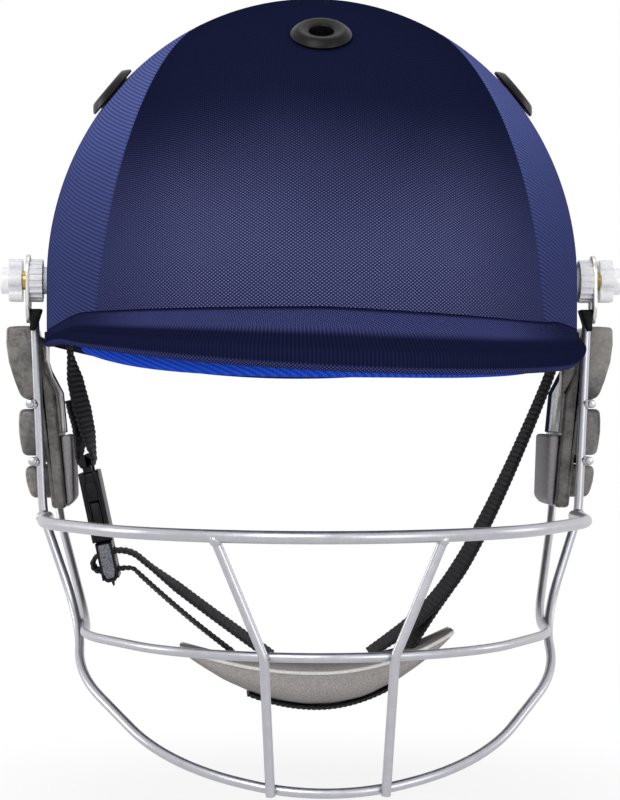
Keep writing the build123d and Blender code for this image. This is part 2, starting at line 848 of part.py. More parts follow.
def guard_inner_x(z):
    """Inner face of the ear guard's plate at height z, along its straight runs."""
    for (high_x, high_z), (low_x, low_z) in zip(guard_inner_face, guard_inner_face[1:]):
        if z >= low_z:
            break
    return high_x + (z - high_z) / (low_z - high_z) * (low_x - high_x)


lobe_half_gap = bar_wire_radius + lobe_clearance
lobe_tops = [lobe_top_z] + [level - lobe_half_gap for level in side_bar_levels]
lobe_bottoms = [level + lobe_half_gap for level in side_bar_levels] + [lobe_bottom_z]
with BuildPart() as ear_guard:
    with BuildSketch(side_plane(guard_middle_y)):
        with BuildLine():
            Polyline(
                (shell_half_width + guard_top_reach, guard_top_z),
                (shell_half_width + guard_bottom_reach, guard_bottom_z),
                *reversed(guard_inner_face),
                close=True,
            )
        make_face()
    extrude(amount=guard_length / 2, both=True)
    fillet(ear_guard.edges().filter_by(Axis.X), radius=guard_corner)
    for top, bottom, top_reach, bottom_reach in zip(
        lobe_tops, lobe_bottoms, lobe_top_reaches, lobe_bottom_reaches
    ):
        root = shell_half_width + guard_top_reach if top > guard_top_z else guard_inner_x(top) + overrun
        top_tip = Vector(shell_half_width + top_reach, top)
        bottom_tip = Vector(shell_half_width + bottom_reach, bottom)
        middle_tip = (top_tip + bottom_tip) / 2 + Vector(lobe_bulge, 0)
        with BuildSketch(side_plane(guard_middle_y)):
            with BuildLine():
                Polyline(
                    (bottom_tip.X, bottom_tip.Y),
                    (guard_inner_x(bottom) + overrun, bottom),
                    (root, top),
                    (top_tip.X, top_tip.Y),
                )
                ThreePointArc(
                    (top_tip.X, top_tip.Y), (middle_tip.X, middle_tip.Y), (bottom_tip.X, bottom_tip.Y)
                )
            make_face()
        extrude(amount=guard_length / 2 - lobe_front_inset, both=True)
keep_pair(ear_guard, "ear_guard")

ear_pad_length = guard_length - 2 * lobe_front_inset
ear_pad_bottom_x = shell_half_width - ear_pad_bottom_inset
with BuildPart() as ear_pad:
    with BuildSketch(side_plane(guard_middle_y)):
        with BuildLine():
            Polyline(
                (guard_inner_x(ear_pad_top_z) - fit_gap, ear_pad_top_z),
                (shell_half_width - ear_pad_top_inset, ear_pad_top_z),
                (ear_pad_bottom_x, guard_bottom_z + lobe_front_inset),
                (guard_inner_x(guard_bottom_z) - fit_gap, guard_bottom_z),
                close=True,
            )
        make_face()
    extrude(amount=ear_pad_length / 2, both=True)
    fillet(ear_pad.edges().filter_by(Axis.X), radius=ear_pad_round)
keep_pair(ear_pad, "ear_pad")

ear_lining_bottom_z = ear_pad_top_z + joint_gap
lining_levels = (ear_lining_top_z, guard_waist_z, ear_lining_bottom_z)
lining_outer = [(guard_inner_x(z) - fit_gap, z) for z in lining_levels]
lining_inner = [(x - ear_lining_thickness, z) for x, z in lining_outer]
with BuildPart() as ear_lining:
    with BuildSketch(side_plane(guard_middle_y)):
        with BuildLine():
            Polyline(*lining_outer, *reversed(lining_inner), close=True)
        make_face()
    extrude(amount=ear_pad_length / 2 - ear_lining_inset, both=True)
keep_pair(ear_lining, "ear_lining")

# Strap rivets inside the shell
strap_outer_x = strap_x + webbing_thickness / 2
strap_inner_x = strap_x - webbing_thickness / 2
rivet_start_x = strap_inner_x - fit_gap - rivet_head_height
rivet_plane = Plane(origin=(rivet_start_x, 0, rivet_z), x_dir=(0, 1, 0), z_dir=(1, 0, 0))
rivet_flange_x = strap_outer_x + fit_gap
rivet_wall_x = washer_start + washer_thickness
with BuildPart() as strap_rivet:
    with BuildSketch(rivet_plane):
        Circle(rivet_head_radius)
    extrude(amount=rivet_head_height)
    with BuildSketch(rivet_plane):
        Circle(rivet_radius)
    extrude(amount=rivet_wall_x - rivet_start_x)
    with BuildSketch(rivet_plane.offset(rivet_flange_x - rivet_start_x)):
        Circle(rivet_head_radius)
    extrude(amount=rivet_wall_x - rivet_flange_x)
keep_pair(strap_rivet, "strap_rivet")


def webbing_line(points):
    """The centre line of webbing in the front view, rounded at each inner point."""
    radii = bend_radii([Vector(*point) for point in points])
    if len(points) > 2:
        return FilletPolyline(*points, radius=radii)
    return Line(*points)


def beyond_rivet(side):
    """What is cut from a strap end to round it about its rivet, with the rivet's hole."""
    reach = webbing_thickness / 2 + overrun
    with BuildPart() as body:
        with BuildSketch(Plane.YZ.offset(side * strap_x)):
            with Locations((0, rivet_z + webbing_width / 2)):
                Rectangle(2 * webbing_width, webbing_width)
            with Locations((0, rivet_z)):
                Circle(webbing_width / 2, mode=Mode.SUBTRACT)
                Circle(rivet_radius + running_clearance)
        extrude(amount=reach, both=True)
    return body.part


# Buckle frame of reference: x across the width, y up along the buckle, z through its thickness
tilt = radians(buckle_tilt)
buckle_plane = Plane(
    origin=(-buckle_bar_x, 0, buckle_bar_z), x_dir=(0, 1, 0), z_dir=(cos(tilt), 0, sin(tilt))
)
buckle_down = Vector(sin(tilt), 0, -cos(tilt))
buckle_through = Vector(cos(tilt), 0, sin(tilt))

# Left strap: down from its rivet, round the bar of the buckle and back up against itself
strap_top = (-strap_x, rivet_z + webbing_width / 2)
strap_bend = (-strap_x, rivet_z - strap_end_drop)
bar_middle = Vector(-buckle_bar_x, 0, buckle_bar_z)
loop_reach = buckle_bar_radius + webbing_thickness / 2 + fit_gap
loop_left = bar_middle - buckle_through * loop_reach
loop_right = bar_middle + buckle_through * loop_reach
strap_run = Vector(loop_right.X - strap_bend[0], loop_right.Z - strap_bend[1]).normalized()
doubled_shift = Vector(strap_run.Y, -strap_run.X) * (webbing_thickness + doubled_gap)
doubled_knee = Vector(loop_right.X, loop_right.Z) - strap_run * (doubled_length / 2) + doubled_shift
doubled_end = doubled_knee - strap_run * (doubled_length / 2)
left_eye = beyond_rivet(-1)
with BuildPart() as strap_left:
    with BuildSketch(Plane.XZ):
        with BuildLine():
            webbing_line([strap_top, strap_bend, (loop_right.X, loop_right.Z)])
            CenterArc((bar_middle.X, bar_middle.Z), loop_reach, buckle_tilt - half_turn, half_turn)
            Polyline(
                (loop_left.X, loop_left.Z), (doubled_knee.X, doubled_knee.Y), (doubled_end.X, doubled_end.Y)
            )
        trace(line_width=webbing_thickness)
    extrude(amount=webbing_width / 2, both=True)
    add(left_eye, mode=Mode.SUBTRACT)
keep(strap_left, "strap_left")

# Buckle socket: a hollow housing with a window on each edge, hung from the left strap by its bar
socket_middle = -socket_top - socket_length / 2
ear_height = socket_top + buckle_bar_radius
with BuildPart() as buckle_socket:
    with BuildSketch(buckle_plane):
        with Locations((0, socket_middle)):
            RectangleRounded(buckle_width, socket_length, buckle_round)
    extrude(amount=buckle_thickness / 2, both=True)
    with BuildSketch(buckle_plane):
        with Locations((0, buckle_bar_radius - ear_height / 2)):
            Rectangle(buckle_width, ear_height)
            Rectangle(buckle_width - 2 * buckle_ear, ear_height, mode=Mode.SUBTRACT)
    extrude(amount=buckle_bar_radius, both=True)
    with BuildSketch(Plane(origin=bar_middle, x_dir=buckle_through, z_dir=(0, 1, 0))):
        Circle(buckle_bar_radius)
    extrude(amount=buckle_width / 2, both=True)
    with BuildSketch(buckle_plane):
        with Locations((0, -socket_top - socket_length + socket_cavity_depth / 2)):
            Rectangle(socket_cavity_width, socket_cavity_depth)
        with Locations((0, -socket_top - window_top - window_length / 2)):
            Rectangle(buckle_width + overrun, window_length)
    extrude(amount=socket_cavity_height / 2, both=True, mode=Mode.SUBTRACT)
keep(buckle_socket, "buckle_socket")

# Buckle tongue: a plate with two webbing slots, and a guide inside the socket
tongue_top = -socket_top - socket_length - tongue_gap
slot_places = [(0, tongue_top - tongue_slot_first), (0, tongue_top - tongue_slot_second)]
with BuildPart() as buckle_tongue:
    with BuildSketch(buckle_plane):
        with Locations((0, tongue_top - tongue_plate_length / 2)):
            RectangleRounded(tongue_plate_width, tongue_plate_length, buckle_round)
        with Locations(slot_places):
            Rectangle(tongue_slot_length, tongue_slot_height, mode=Mode.SUBTRACT)
    extrude(amount=tongue_plate_height / 2, both=True)
    with BuildSketch(buckle_plane):
        with Locations((0, tongue_top + tongue_guide_length / 2 - buckle_round)):
            Rectangle(tongue_guide_width, tongue_guide_length)
    extrude(amount=tongue_guide_height / 2, both=True)
keep(buckle_tongue, "buckle_tongue")

# Sprung prongs, whose pads show in the windows of the socket
prong_bottom = tongue_top + tongue_gap
prong_height = -socket_top - window_top - prong_bottom + overrun
pad_low = -socket_top - window_top - window_length + prong_pad_inset
pad_high = -socket_top - window_top - prong_pad_inset
for side, tag in ((-1, "front"), (1, "back")):
    with BuildPart() as prong:
        with BuildSketch(buckle_plane):
            with Locations((side * (prong_inner + prong_outer) / 2, prong_bottom + prong_height / 2)):
                Rectangle(prong_outer - prong_inner, prong_height)
            with Locations((side * (prong_inner + prong_pad_reach) / 2, (pad_low + pad_high) / 2)):
                Rectangle(prong_pad_reach - prong_inner, pad_high - pad_low)
        extrude(amount=prong_thickness / 2, both=True)
    keep(prong, f"buckle_prong_{tag}")

# Lower left webbing: from the cup through the tongue, round its bar and back to the cup
slot_points = [bar_middle - buckle_down * y for x, y in slot_places]
slot_inner = [point + buckle_through * strand_exit for point in slot_points]
slot_outer = [point - buckle_through * strand_loop for point in slot_points]
strand_points = [upper_strand_foot]
strand_points += list(upper_strand_knots)
tongue_turns = (slot_inner[0], slot_outer[0], slot_outer[1], slot_inner[1])
strand_points += [(point.X, point.Z) for point in tongue_turns]
strand_points += list(lower_strand_knots)
strand_points += [lower_strand_foot]
with BuildPart() as lower_strap_left:
    with BuildSketch(Plane.XZ):
        with BuildLine():
            webbing_line(strand_points)
        trace(line_width=webbing_thickness)
    extrude(amount=webbing_width / 2, both=True)
keep(lower_strap_left, "lower_strap_left")

# Right strap: from its rivet slanting inwards, then to the cup in two strands
right_top = (strap_x, rivet_z + webbing_width / 2)
right_bend = (strap_x, rivet_z - strap_end_drop)
right_eye = beyond_rivet(1)
with BuildPart() as strap_right:
    with BuildSketch(Plane.XZ):
        with BuildLine():
            webbing_line([right_top, right_bend, *right_strap_knots, right_strap_bend, right_strap_foot])
        trace(line_width=webbing_thickness)
        with BuildLine():
            webbing_line([right_strap_bend, right_strap_second_foot])
        trace(line_width=webbing_thickness)
    extrude(amount=webbing_width / 2, both=True)
    add(right_eye, mode=Mode.SUBTRACT)
keep(strap_right, "strap_right")

# Chin cup and the webbing that passes under it
with BuildPart() as chin_cup:
    with BuildSketch(Plane.XZ):
        with BuildLine():
            ThreePointArc((-cup_half_width, cup_tip_z), (0, cup_top_z), (cup_half_width, cup_tip_z))
            Line((cup_half_width, cup_tip_z), (cup_half_width, cup_tip_z - cup_tip_height))
            ThreePointArc(
                (cup_half_width, cup_tip_z - cup_tip_height),
                (0, cup_bottom_z),
                (-cup_half_width, cup_tip_z - cup_tip_height),
            )
            Line((-cup_half_width, cup_tip_z - cup_tip_height), (-cup_half_width, cup_tip_z))
        make_face()
    extrude(amount=cup_depth / 2, both=True)
keep(chin_cup, "chin_cup")

cup_sagitta = cup_tip_z - cup_tip_height - cup_bottom_z
cup_radius = (cup_half_width ** 2 + cup_sagitta ** 2) / (2 * cup_sagitta)
strap_radius = cup_radius + fit_gap + webbing_thickness / 2
cup_strap_angle = degrees(asin(cup_strap_half_width / cup_radius))
with BuildPart() as chin_cup_strap:
    with BuildSketch(Plane.XZ):
        with BuildLine():
            CenterArc(
                (0, cup_bottom_z + cup_radius), strap_radius, -quarter_turn - cup_strap_angle, 2 * cup_strap_angle
            )
        trace(line_width=webbing_thickness)
    extrude(amount=webbing_width / 2, both=True)
keep(chin_cup_strap, "chin_cup_strap")
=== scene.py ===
import json
import math

import bmesh
import bpy
from mathutils import Matrix, Vector, noise


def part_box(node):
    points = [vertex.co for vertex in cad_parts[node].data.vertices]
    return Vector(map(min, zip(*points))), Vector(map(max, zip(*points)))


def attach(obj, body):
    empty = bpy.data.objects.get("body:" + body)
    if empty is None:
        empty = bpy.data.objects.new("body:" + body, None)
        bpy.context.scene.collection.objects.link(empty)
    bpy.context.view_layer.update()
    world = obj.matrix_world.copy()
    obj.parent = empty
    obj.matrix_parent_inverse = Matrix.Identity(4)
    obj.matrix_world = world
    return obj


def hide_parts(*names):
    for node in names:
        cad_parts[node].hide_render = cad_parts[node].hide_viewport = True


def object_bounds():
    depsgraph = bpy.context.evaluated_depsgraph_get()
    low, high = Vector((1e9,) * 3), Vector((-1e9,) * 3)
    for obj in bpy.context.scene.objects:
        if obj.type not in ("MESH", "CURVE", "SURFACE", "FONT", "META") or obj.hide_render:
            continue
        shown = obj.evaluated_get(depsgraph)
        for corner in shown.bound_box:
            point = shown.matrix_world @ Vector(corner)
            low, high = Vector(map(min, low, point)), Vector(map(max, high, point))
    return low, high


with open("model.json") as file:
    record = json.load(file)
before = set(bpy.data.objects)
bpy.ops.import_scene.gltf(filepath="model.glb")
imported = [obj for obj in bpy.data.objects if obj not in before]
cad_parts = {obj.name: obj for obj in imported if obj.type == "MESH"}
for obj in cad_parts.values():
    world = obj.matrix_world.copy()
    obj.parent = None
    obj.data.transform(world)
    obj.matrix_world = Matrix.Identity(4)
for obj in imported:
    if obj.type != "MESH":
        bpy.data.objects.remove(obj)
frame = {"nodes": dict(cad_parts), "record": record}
cadLow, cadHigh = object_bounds()
nodes = frame["nodes"]
mm = 0.001
sides = (("left", -1), ("right", 1))
bodyOf = {node: body for body, members in frame["record"]["behaviour"]["bodies"].items() for node in members}
slotOf = {part["node"]: part["material_slot"] for part in frame["record"]["subparts"]}
print("Frame loaded:", len(nodes), "nodes")


# Shader helpers

def newNode(tree, kind, **settings):
    node = tree.nodes.new(kind)
    for name, value in settings.items():
        setattr(node, name, value)
    return node


def plug(value, socket):
    if isinstance(value, bpy.types.NodeSocket):
        socket.id_data.links.new(value, socket)
    else:
        socket.default_value = value


def setInputs(node, values):
    for name, value in values.items():
        plug(value, node.inputs[name])
    return node


def mathNode(operation, *values):
    # the first value is a socket, whose tree takes the node; so it is in the functions below
    node = newNode(values[0].id_data, "ShaderNodeMath", operation=operation)
    for value, socket in zip(values, node.inputs):
        plug(value, socket)
    return node.outputs[0]


def ramp(value, low, high, lowResult=0.0, highResult=1.0):
    # a smooth step from one result to the other
    node = newNode(value.id_data, "ShaderNodeMapRange", interpolation_type="SMOOTHSTEP")
    return setInputs(node, {"Value": value, "From Min": low, "From Max": high, "To Min": lowResult,
                            "To Max": highResult}).outputs["Result"]


def screenColour(red, green, blue):
    # a colour as a screen shows it, 0 to 255, made linear
    channels = []
    for value in (red, green, blue):
        share = value / 255
        channels.append(share / 12.92 if share <= 0.04045 else ((share + 0.055) / 1.055) ** 2.4)
    return (*channels, 1)


def mixColours(share, first, second):
    # each colour is a socket, or three numbers as a screen shows them
    node = newNode(share.id_data, "ShaderNodeMix", data_type="RGBA")
    plug(share, node.inputs[0])
    for colour, socket in ((first, node.inputs[6]), (second, node.inputs[7])):
        plug(screenColour(*colour) if isinstance(colour, tuple) else colour, socket)
    return node.outputs[2]


def mixShaders(share, first, second, output):
    node = newNode(share.id_data, "ShaderNodeMixShader")
    for value, socket in zip((share, first.outputs[0], second.outputs[0]), node.inputs):
        plug(value, socket)
    plug(node.outputs[0], output.inputs[0])


def objectPlace(tree):
    return newNode(tree, "ShaderNodeTexCoord").outputs["Object"]


def seenRay(tree):
    # 1 for rays that the eye, a mirror or glass sends out
    rays = newNode(tree, "ShaderNodeLightPath").outputs
    seen = mathNode("MAXIMUM", rays["Is Camera Ray"], rays["Is Glossy Ray"])
    return mathNode("MAXIMUM", seen, rays["Is Transmission Ray"])


# Camera, lamps and floor

studio = {
    "azimuth": -2.5,
    "distance": 920 * mm,
    "height": -46 * mm,
    "lens": 107,
    "sensor": 36,
    "cameraShift": -0.8 * mm,
    "floorGap": 20.5 * mm,  # the grille's front dips this far when it is tilted and slid down
    "floorSize": 6,
    "floorColour": (0.86, 0.86, 0.86, 1),
    "floorRoughness": 0.8,
    "floorShade": 0.2,
    "floorFadeNear": 0.01,
    "floorFadeFar": 0.12,
    "white": (1, 1, 1, 1),
    "ambient": 0.5,
    "lampTarget": (0, 0, -0.04),
    # place, size and power of each lamp
    "lamps": {
        "keyLamp": ((-0.55, -1.25, 0.75), 0.9, 11),
        "fillLamp": ((0.8, -1.15, 0.15), 0.9, 5.5),
        "topLamp": ((0.1, 0.1, 1.3), 0.9, 2.5),
        "leftLamp": ((-1.2, 0.3, 0.2), 0.45, 3),
        "rightLamp": ((1.2, 0.3, 0.2), 0.45, 1.5),
    },
}


def makeWorld():
    world = bpy.data.worlds.new("studioWorld")
    world.use_nodes = True
    bpy.context.scene.world = world
    tree = world.node_tree
    tree.nodes.clear()
    white = {"Color": studio["white"]}
    lamp = setInputs(newNode(tree, "ShaderNodeBackground"), {**white, "Strength": studio["ambient"]})
    backdrop = setInputs(newNode(tree, "ShaderNodeBackground"), white)
    mixShaders(seenRay(tree), lamp, backdrop, newNode(tree, "ShaderNodeOutputWorld"))


def makeFloor():
    bm = bmesh.new()
    bmesh.ops.create_grid(bm, x_segments=1, y_segments=1, size=studio["floorSize"] / 2)
    bmesh.ops.translate(bm, verts=bm.verts, vec=(0, 0, cadLow.z - studio["floorGap"]))
    mesh = bpy.data.meshes.new("floor")
    bm.to_mesh(mesh)
    bm.free()
    floor = bpy.data.objects.new("floor", mesh)
    bpy.context.scene.collection.objects.link(floor)
    material = bpy.data.materials.new("floorWhite")
    material.use_nodes = True
    tree = material.node_tree
    shader = tree.nodes["Principled BSDF"]
    setInputs(shader, {"Base Color": studio["floorColour"], "Roughness": studio["floorRoughness"]})
    glow = setInputs(newNode(tree, "ShaderNodeEmission"), {"Color": studio["white"]})
    # shaded near the helmet only, and plain white away from it
    reach = newNode(tree, "ShaderNodeVectorMath", operation="LENGTH")
    plug(objectPlace(tree), reach.inputs[0])
    fade = ramp(reach.outputs["Value"], studio["floorFadeNear"] - cadLow.z,
                studio["floorFadeFar"] - cadLow.z, 1 - studio["floorShade"])
    share = mathNode("MULTIPLY", seenRay(tree), fade)
    mixShaders(share, shader, glow, tree.nodes["Material Output"])
    mesh.materials.append(material)


def makeLamps():
    target = Vector(studio["lampTarget"])
    for name, (place, size, power) in studio["lamps"].items():
        data = bpy.data.lights.new(name, "AREA")
        data.shape = "SQUARE"
        data.size = size
        data.energy = power
        lamp = bpy.data.objects.new(name, data)
        lamp.location = place
        lamp.rotation_euler = (target - Vector(place)).to_track_quat("-Z", "Y").to_euler()
        bpy.context.scene.collection.objects.link(lamp)


def makeStudio():
    scene = bpy.context.scene
    scene.view_settings.view_transform = "Standard"
    data = bpy.data.cameras.new("camera")
    data.lens = studio["lens"]
    data.sensor_width = studio["sensor"]
    camera = bpy.data.objects.new("camera", data)
    turn = math.radians(studio["azimuth"])
    reach = studio["distance"]
    camera.location = (math.sin(turn) * reach + studio["cameraShift"], -math.cos(turn) * reach,
                       studio["height"])
    camera.rotation_euler = (math.pi / 2, 0, turn)
    scene.collection.objects.link(camera)
    scene.camera = camera
    makeWorld()
    makeFloor()
    makeLamps()


makeStudio()
print("Studio ready")


# Materials: pitches in metres of cloth, ramps from one value to another, colours as a screen shows them,
# and noises as scale, detail and roughness

def newMaterial(name, colour, roughness, metallic=0, specular=0.5):
    material = bpy.data.materials.new(name)
    material.use_nodes = True
    tree = material.node_tree
    shader = tree.nodes["Principled BSDF"]
    setInputs(shader, {"Base Color": screenColour(*colour), "Roughness": roughness, "Metallic": metallic,
                       "Specular IOR Level": specular})
    return material, tree, shader


def clothPlace(tree):
    return newNode(tree, "ShaderNodeUVMap", uv_map="cloth").outputs[0]


def axesOf(place):
    return setInputs(newNode(place.id_data, "ShaderNodeSeparateXYZ"), {"Vector": place}).outputs[:]


def noiseOn(place, scale, detail, roughness=0.6):
    node = newNode(place.id_data, "ShaderNodeTexNoise")
    setInputs(node, {"Vector": place, "Scale": scale, "Detail": detail, "Roughness": roughness})
    return node.outputs["Fac"]


def bumpTo(shader, height, strength, distance):
    node = newNode(height.id_data, "ShaderNodeBump")
    setInputs(node, {"Height": height, "Strength": strength, "Distance": distance})
    plug(node.outputs[0], shader.inputs["Normal"])


def paint(shader, share, dark, light):
    plug(mixColours(share, dark, light), shader.inputs["Base Color"])


def waveOf(value, pitch):
    # sine of a length, one full wave for each pitch
    return mathNode("SINE", mathNode("MULTIPLY_ADD", value, 2 * math.pi / pitch, 0.0))


def ribs(look, u, along):
    # ribs along the cloth, with a finer yarn across them
    yarn = waveOf(u, look["yarnPitch"])
    return mathNode("MULTIPLY_ADD", yarn, look["yarnShare"], waveOf(along, look["ribPitch"]))


def knitOf(look, across, v):
    return mathNode("MULTIPLY", across, waveOf(v, look["alongPitch"]))


def sidewaysFade(x, limits):
    return ramp(mathNode("ABSOLUTE", x), *limits)


navyKnit = {
    "shader": {"name": "navyCloth", "colour": (24, 27, 60), "roughness": 0.8, "specular": 0},
    "acrossPitch": 1.5 * mm,
    "alongPitch": 1.15 * mm,
    "crowns": (-0.1, 0.9),
    "driftNoise": (14, 3, 0.5),
    "drift": 30 * mm,
    # painted sheen: rising from nothing at the first height to full at the second, low on the brow
    "brushMapAndSheenShare": (80 * mm, 10 * mm),
    "sideways": (40 * mm, 80 * mm, 1.0, 0.4),
    "gain": 0.74,
    "least": 0.05,
    # painted shade on the crown, painted sheen on the brow, and the painted glint of the yarn crowns
    "shadedCrownNavy": (17, 20, 46),
    "sheenLitNavy": (36, 40, 78),
    "yarn": (124, 128, 168),
    "bump": (0.35, 0.12 * mm),
}


def centreCloth(look):
    # dark navy knit, with painted shade on the crown and painted sheen low on the brow, where its yarn crowns
    # are painted brighter
    material, tree, shader = newMaterial(**look["shader"])
    u, v = axesOf(clothPlace(tree))[:2]
    place = objectPlace(tree)
    x, z = axesOf(place)[::2]
    knit = knitOf(look, waveOf(u, look["acrossPitch"]), v)
    crowns = ramp(knit, *look["crowns"])
    # painted sheen: ground and yarn crowns painted brighter from the crown down to the brow, fading towards
    # the seams
    lowered = mathNode("MULTIPLY_ADD", noiseOn(place, *look["driftNoise"]), look["drift"], z)
    brushMapAndSheenShare = ramp(lowered, *look["brushMapAndSheenShare"])
    gain = mathNode("MULTIPLY_ADD", brushMapAndSheenShare, look["gain"], look["least"])
    strength = mathNode("MULTIPLY", gain, sidewaysFade(x, look["sideways"]))
    ground = mixColours(brushMapAndSheenShare, look["shadedCrownNavy"], look["sheenLitNavy"])
    paint(shader, mathNode("MULTIPLY", crowns, strength), ground, look["yarn"])
    bumpTo(shader, knit, *look["bump"])
    return material


blueRib = {
    "shader": {"name": "blueCloth", "colour": (66, 74, 124), "roughness": 0.8, "specular": 0},
    "wanderNoise": (60, 2, 0.5),
    "wander": 0.5 * mm,
    "ribPitch": 1.45 * mm,
    "yarnPitch": 0.9 * mm,
    "yarnShare": 0.25,
    "crest": (-0.9, 1.0),
    # heights of the painted shade, darker towards the rim, and of the painted light, lighter towards the top
    "low": (70 * mm, -10 * mm),
    "high": (30 * mm, 85 * mm, 0.0, 0.8),
    "darks": ((56, 64, 114), (43, 49, 88)),
    "lights": ((77, 86, 140), (62, 69, 114)),
    "lightest": ((66, 74, 128), (96, 106, 162)),
    "bump": (0.4, 0.15 * mm),
}


def sideCloth(look):
    # mid blue cloth with fine ribs that run round the helmet
    material, tree, shader = newMaterial(**look["shader"])
    u, v = axesOf(clothPlace(tree))[:2]
    place = objectPlace(tree)
    z = axesOf(place)[2]
    wander = mathNode("MULTIPLY_ADD", noiseOn(place, *look["wanderNoise"]), look["wander"], v)
    height = ribs(look, u, wander)
    crest = ramp(height, *look["crest"])
    # painted shade: the cloth darker towards the rim; painted light: lighter, with brighter rib crowns,
    # towards the top
    low = ramp(z, *look["low"])
    dark, light = (mixColours(low, *look[name]) for name in ("darks", "lights"))
    lightest = mixColours(crest, *look["lightest"])
    paint(shader, ramp(z, *look["high"]), mixColours(crest, dark, light), lightest)
    bumpTo(shader, height, *look["bump"])
    return material


peakKnit = {
    "shader": {"name": "peakCloth", "colour": (24, 27, 56), "roughness": 0.8, "specular": 0},
    "acrossPitch": 1.35 * mm,
    "alongPitch": 1.5 * mm,
    "crowns": (-0.1, 0.9),
    "onTop": (30 * mm, 16 * mm),
    "nearCrease": (1 * mm, 5 * mm),
    "under": (47.5 * mm, 49.5 * mm),
    "sideways": (58 * mm, 90 * mm, 1.0, 0.2),
    "ribShare": 0.35,
    "ribMiddle": 0.5,
    # strength of the painted light on top near the crease, its least, and its strength under the rim
    "gain": 0.7,
    "least": 0.03,
    "underGain": 0.5,
    "colours": ((15, 18, 42), (120, 127, 208)),
    "bump": (0.3, 0.12 * mm),
}


def peakCloth(look):
    # the same navy cloth pulled over the peak: open knit on top, tight ribs round the rim
    material, tree, shader = newMaterial(**look["shader"])
    u, v = axesOf(clothPlace(tree))[:2]
    across = waveOf(u, look["acrossPitch"])
    knit = knitOf(look, across, v)
    onTop, nearCrease, under = (ramp(v, *look[name]) for name in ("onTop", "nearCrease", "under"))
    sideways = sidewaysFade(axesOf(objectPlace(tree))[0], look["sideways"])
    lit = mathNode("MULTIPLY", mathNode("MULTIPLY", onTop, nearCrease), sideways)
    rib = mathNode("MULTIPLY_ADD", across, look["ribShare"], look["ribMiddle"])
    openKnit = mathNode("MAXIMUM", onTop, under)
    pattern = mixColours(openKnit, rib, ramp(knit, *look["crowns"]))
    # painted light: the yarn painted bright on top near the crease and on the rim's underside, and almost dark
    # on the rim's front
    strength = mathNode("MAXIMUM", mathNode("MULTIPLY_ADD", lit, look["gain"], look["least"]),
                        mathNode("MULTIPLY", under, look["underGain"]))
    paint(shader, mathNode("MULTIPLY", strength, pattern), *look["colours"])
    bumpTo(shader, pattern, *look["bump"])
    return material


royalTwill = {
    "shader": {"name": "royalCloth", "colour": (30, 66, 176), "roughness": 0.8, "specular": 0},
    "slant": 0.55,
    "ribPitch": 1.6 * mm,
    "yarnPitch": 1.1 * mm,
    "yarnShare": 0.4,
    "crest": (-1.1, 1.1),
    "colours": ((28, 64, 186), (44, 90, 222)),
    "bump": (0.3, 0.15 * mm),
}


def royalCloth(look):
    material, tree, shader = newMaterial(**look["shader"])
    u, v = axesOf(clothPlace(tree))[:2]
    height = ribs(look, u, mathNode("MULTIPLY_ADD", u, look["slant"], v))
    paint(shader, ramp(height, *look["crest"]), *look["colours"])
    bumpTo(shader, height, *look["bump"])
    return material


blackTwill = {
    "shader": {"name": "blackWebbing", "colour": (34, 34, 36), "roughness": 0.6, "specular": 0.05},
    "ribPitch": 1.0 * mm,
    "yarnPitch": 0.8 * mm,
    "yarnShare": 0.5,
    "fuzzNoise": (900, 4, 0.5),
    "crest": (-0.6, 1.8),
    "colours": ((18, 18, 20), (62, 62, 66)),
    "bump": (0.5, 0.15 * mm),
}


def webbingCloth(look):
    # black polyester webbing; the ribs are in the mesh, the herringbone yarn is here
    material, tree, shader = newMaterial(**look["shader"])
    place = clothPlace(tree)
    u, v = axesOf(place)[:2]
    height = ribs(look, u, mathNode("ADD", mathNode("ABSOLUTE", u), v))
    fuzzy = mathNode("ADD", height, noiseOn(place, *look["fuzzNoise"]))
    paint(shader, ramp(fuzzy, *look["crest"]), *look["colours"])
    bumpTo(shader, height, *look["bump"])
    return material


speckles = {
    "detail": 5,
    "limits": (0.3, 0.7),
    "coatRoughness": 0.2,
}


def speckled(name, dark, light, roughness, scale, bump=0.3, distance=0.2, coat=0.0, specular=0.0, metallic=0):
    # a colour with fine mottling and grain in Object coordinates
    material, tree, shader = newMaterial(name, dark, roughness, metallic, specular)
    grain = noiseOn(objectPlace(tree), scale, speckles["detail"])
    paint(shader, ramp(grain, *speckles["limits"]), dark, light)
    bumpTo(shader, grain, bump, distance * mm)
    setInputs(shader, {"Coat Weight": coat, "Coat Roughness": speckles["coatRoughness"]})
    return material


guardLook = {
    "shader": {"name": "guardPlastic", "colour": (112, 110, 107), "roughness": 0.45, "specular": 0.45},
    "cloudNoise": (95, 4),
    "cloudShare": 0.8,
    "grainNoise": (900, 3),
    "grainShare": 0.3,
    "limits": (0.35, 0.75),
    "colours": ((62, 60, 61), (138, 134, 129)),
    "gloss": (0.4, 0.62, 0.2, 0.5),
    "bump": (0.6, 0.6 * mm),
}


def guardPlastic(look):
    # grey moulded plastic with cloudy flow marks and patches of gloss
    material, tree, shader = newMaterial(**look["shader"])
    place = objectPlace(tree)
    cloud = noiseOn(place, *look["cloudNoise"])
    grain = noiseOn(place, *look["grainNoise"])
    marks = mathNode("MULTIPLY_ADD", grain, look["grainShare"],
                     mathNode("MULTIPLY", cloud, look["cloudShare"]))
    paint(shader, ramp(marks, *look["limits"]), *look["colours"])
    plug(ramp(cloud, *look["gloss"]), shader.inputs["Roughness"])
    bumpTo(shader, marks, *look["bump"])
    return material


wireLook = {
    "shader": {"name": "wireSteel", "colour": (180, 180, 186), "roughness": 0.3, "metallic": 0.85},
    "grainNoise": (260, 4),
    "colours": ((168, 168, 174), (190, 190, 196)),
    "gloss": (0.3, 0.7, 0.29, 0.37),
    "bump": (0.03, 0.1 * mm),
}


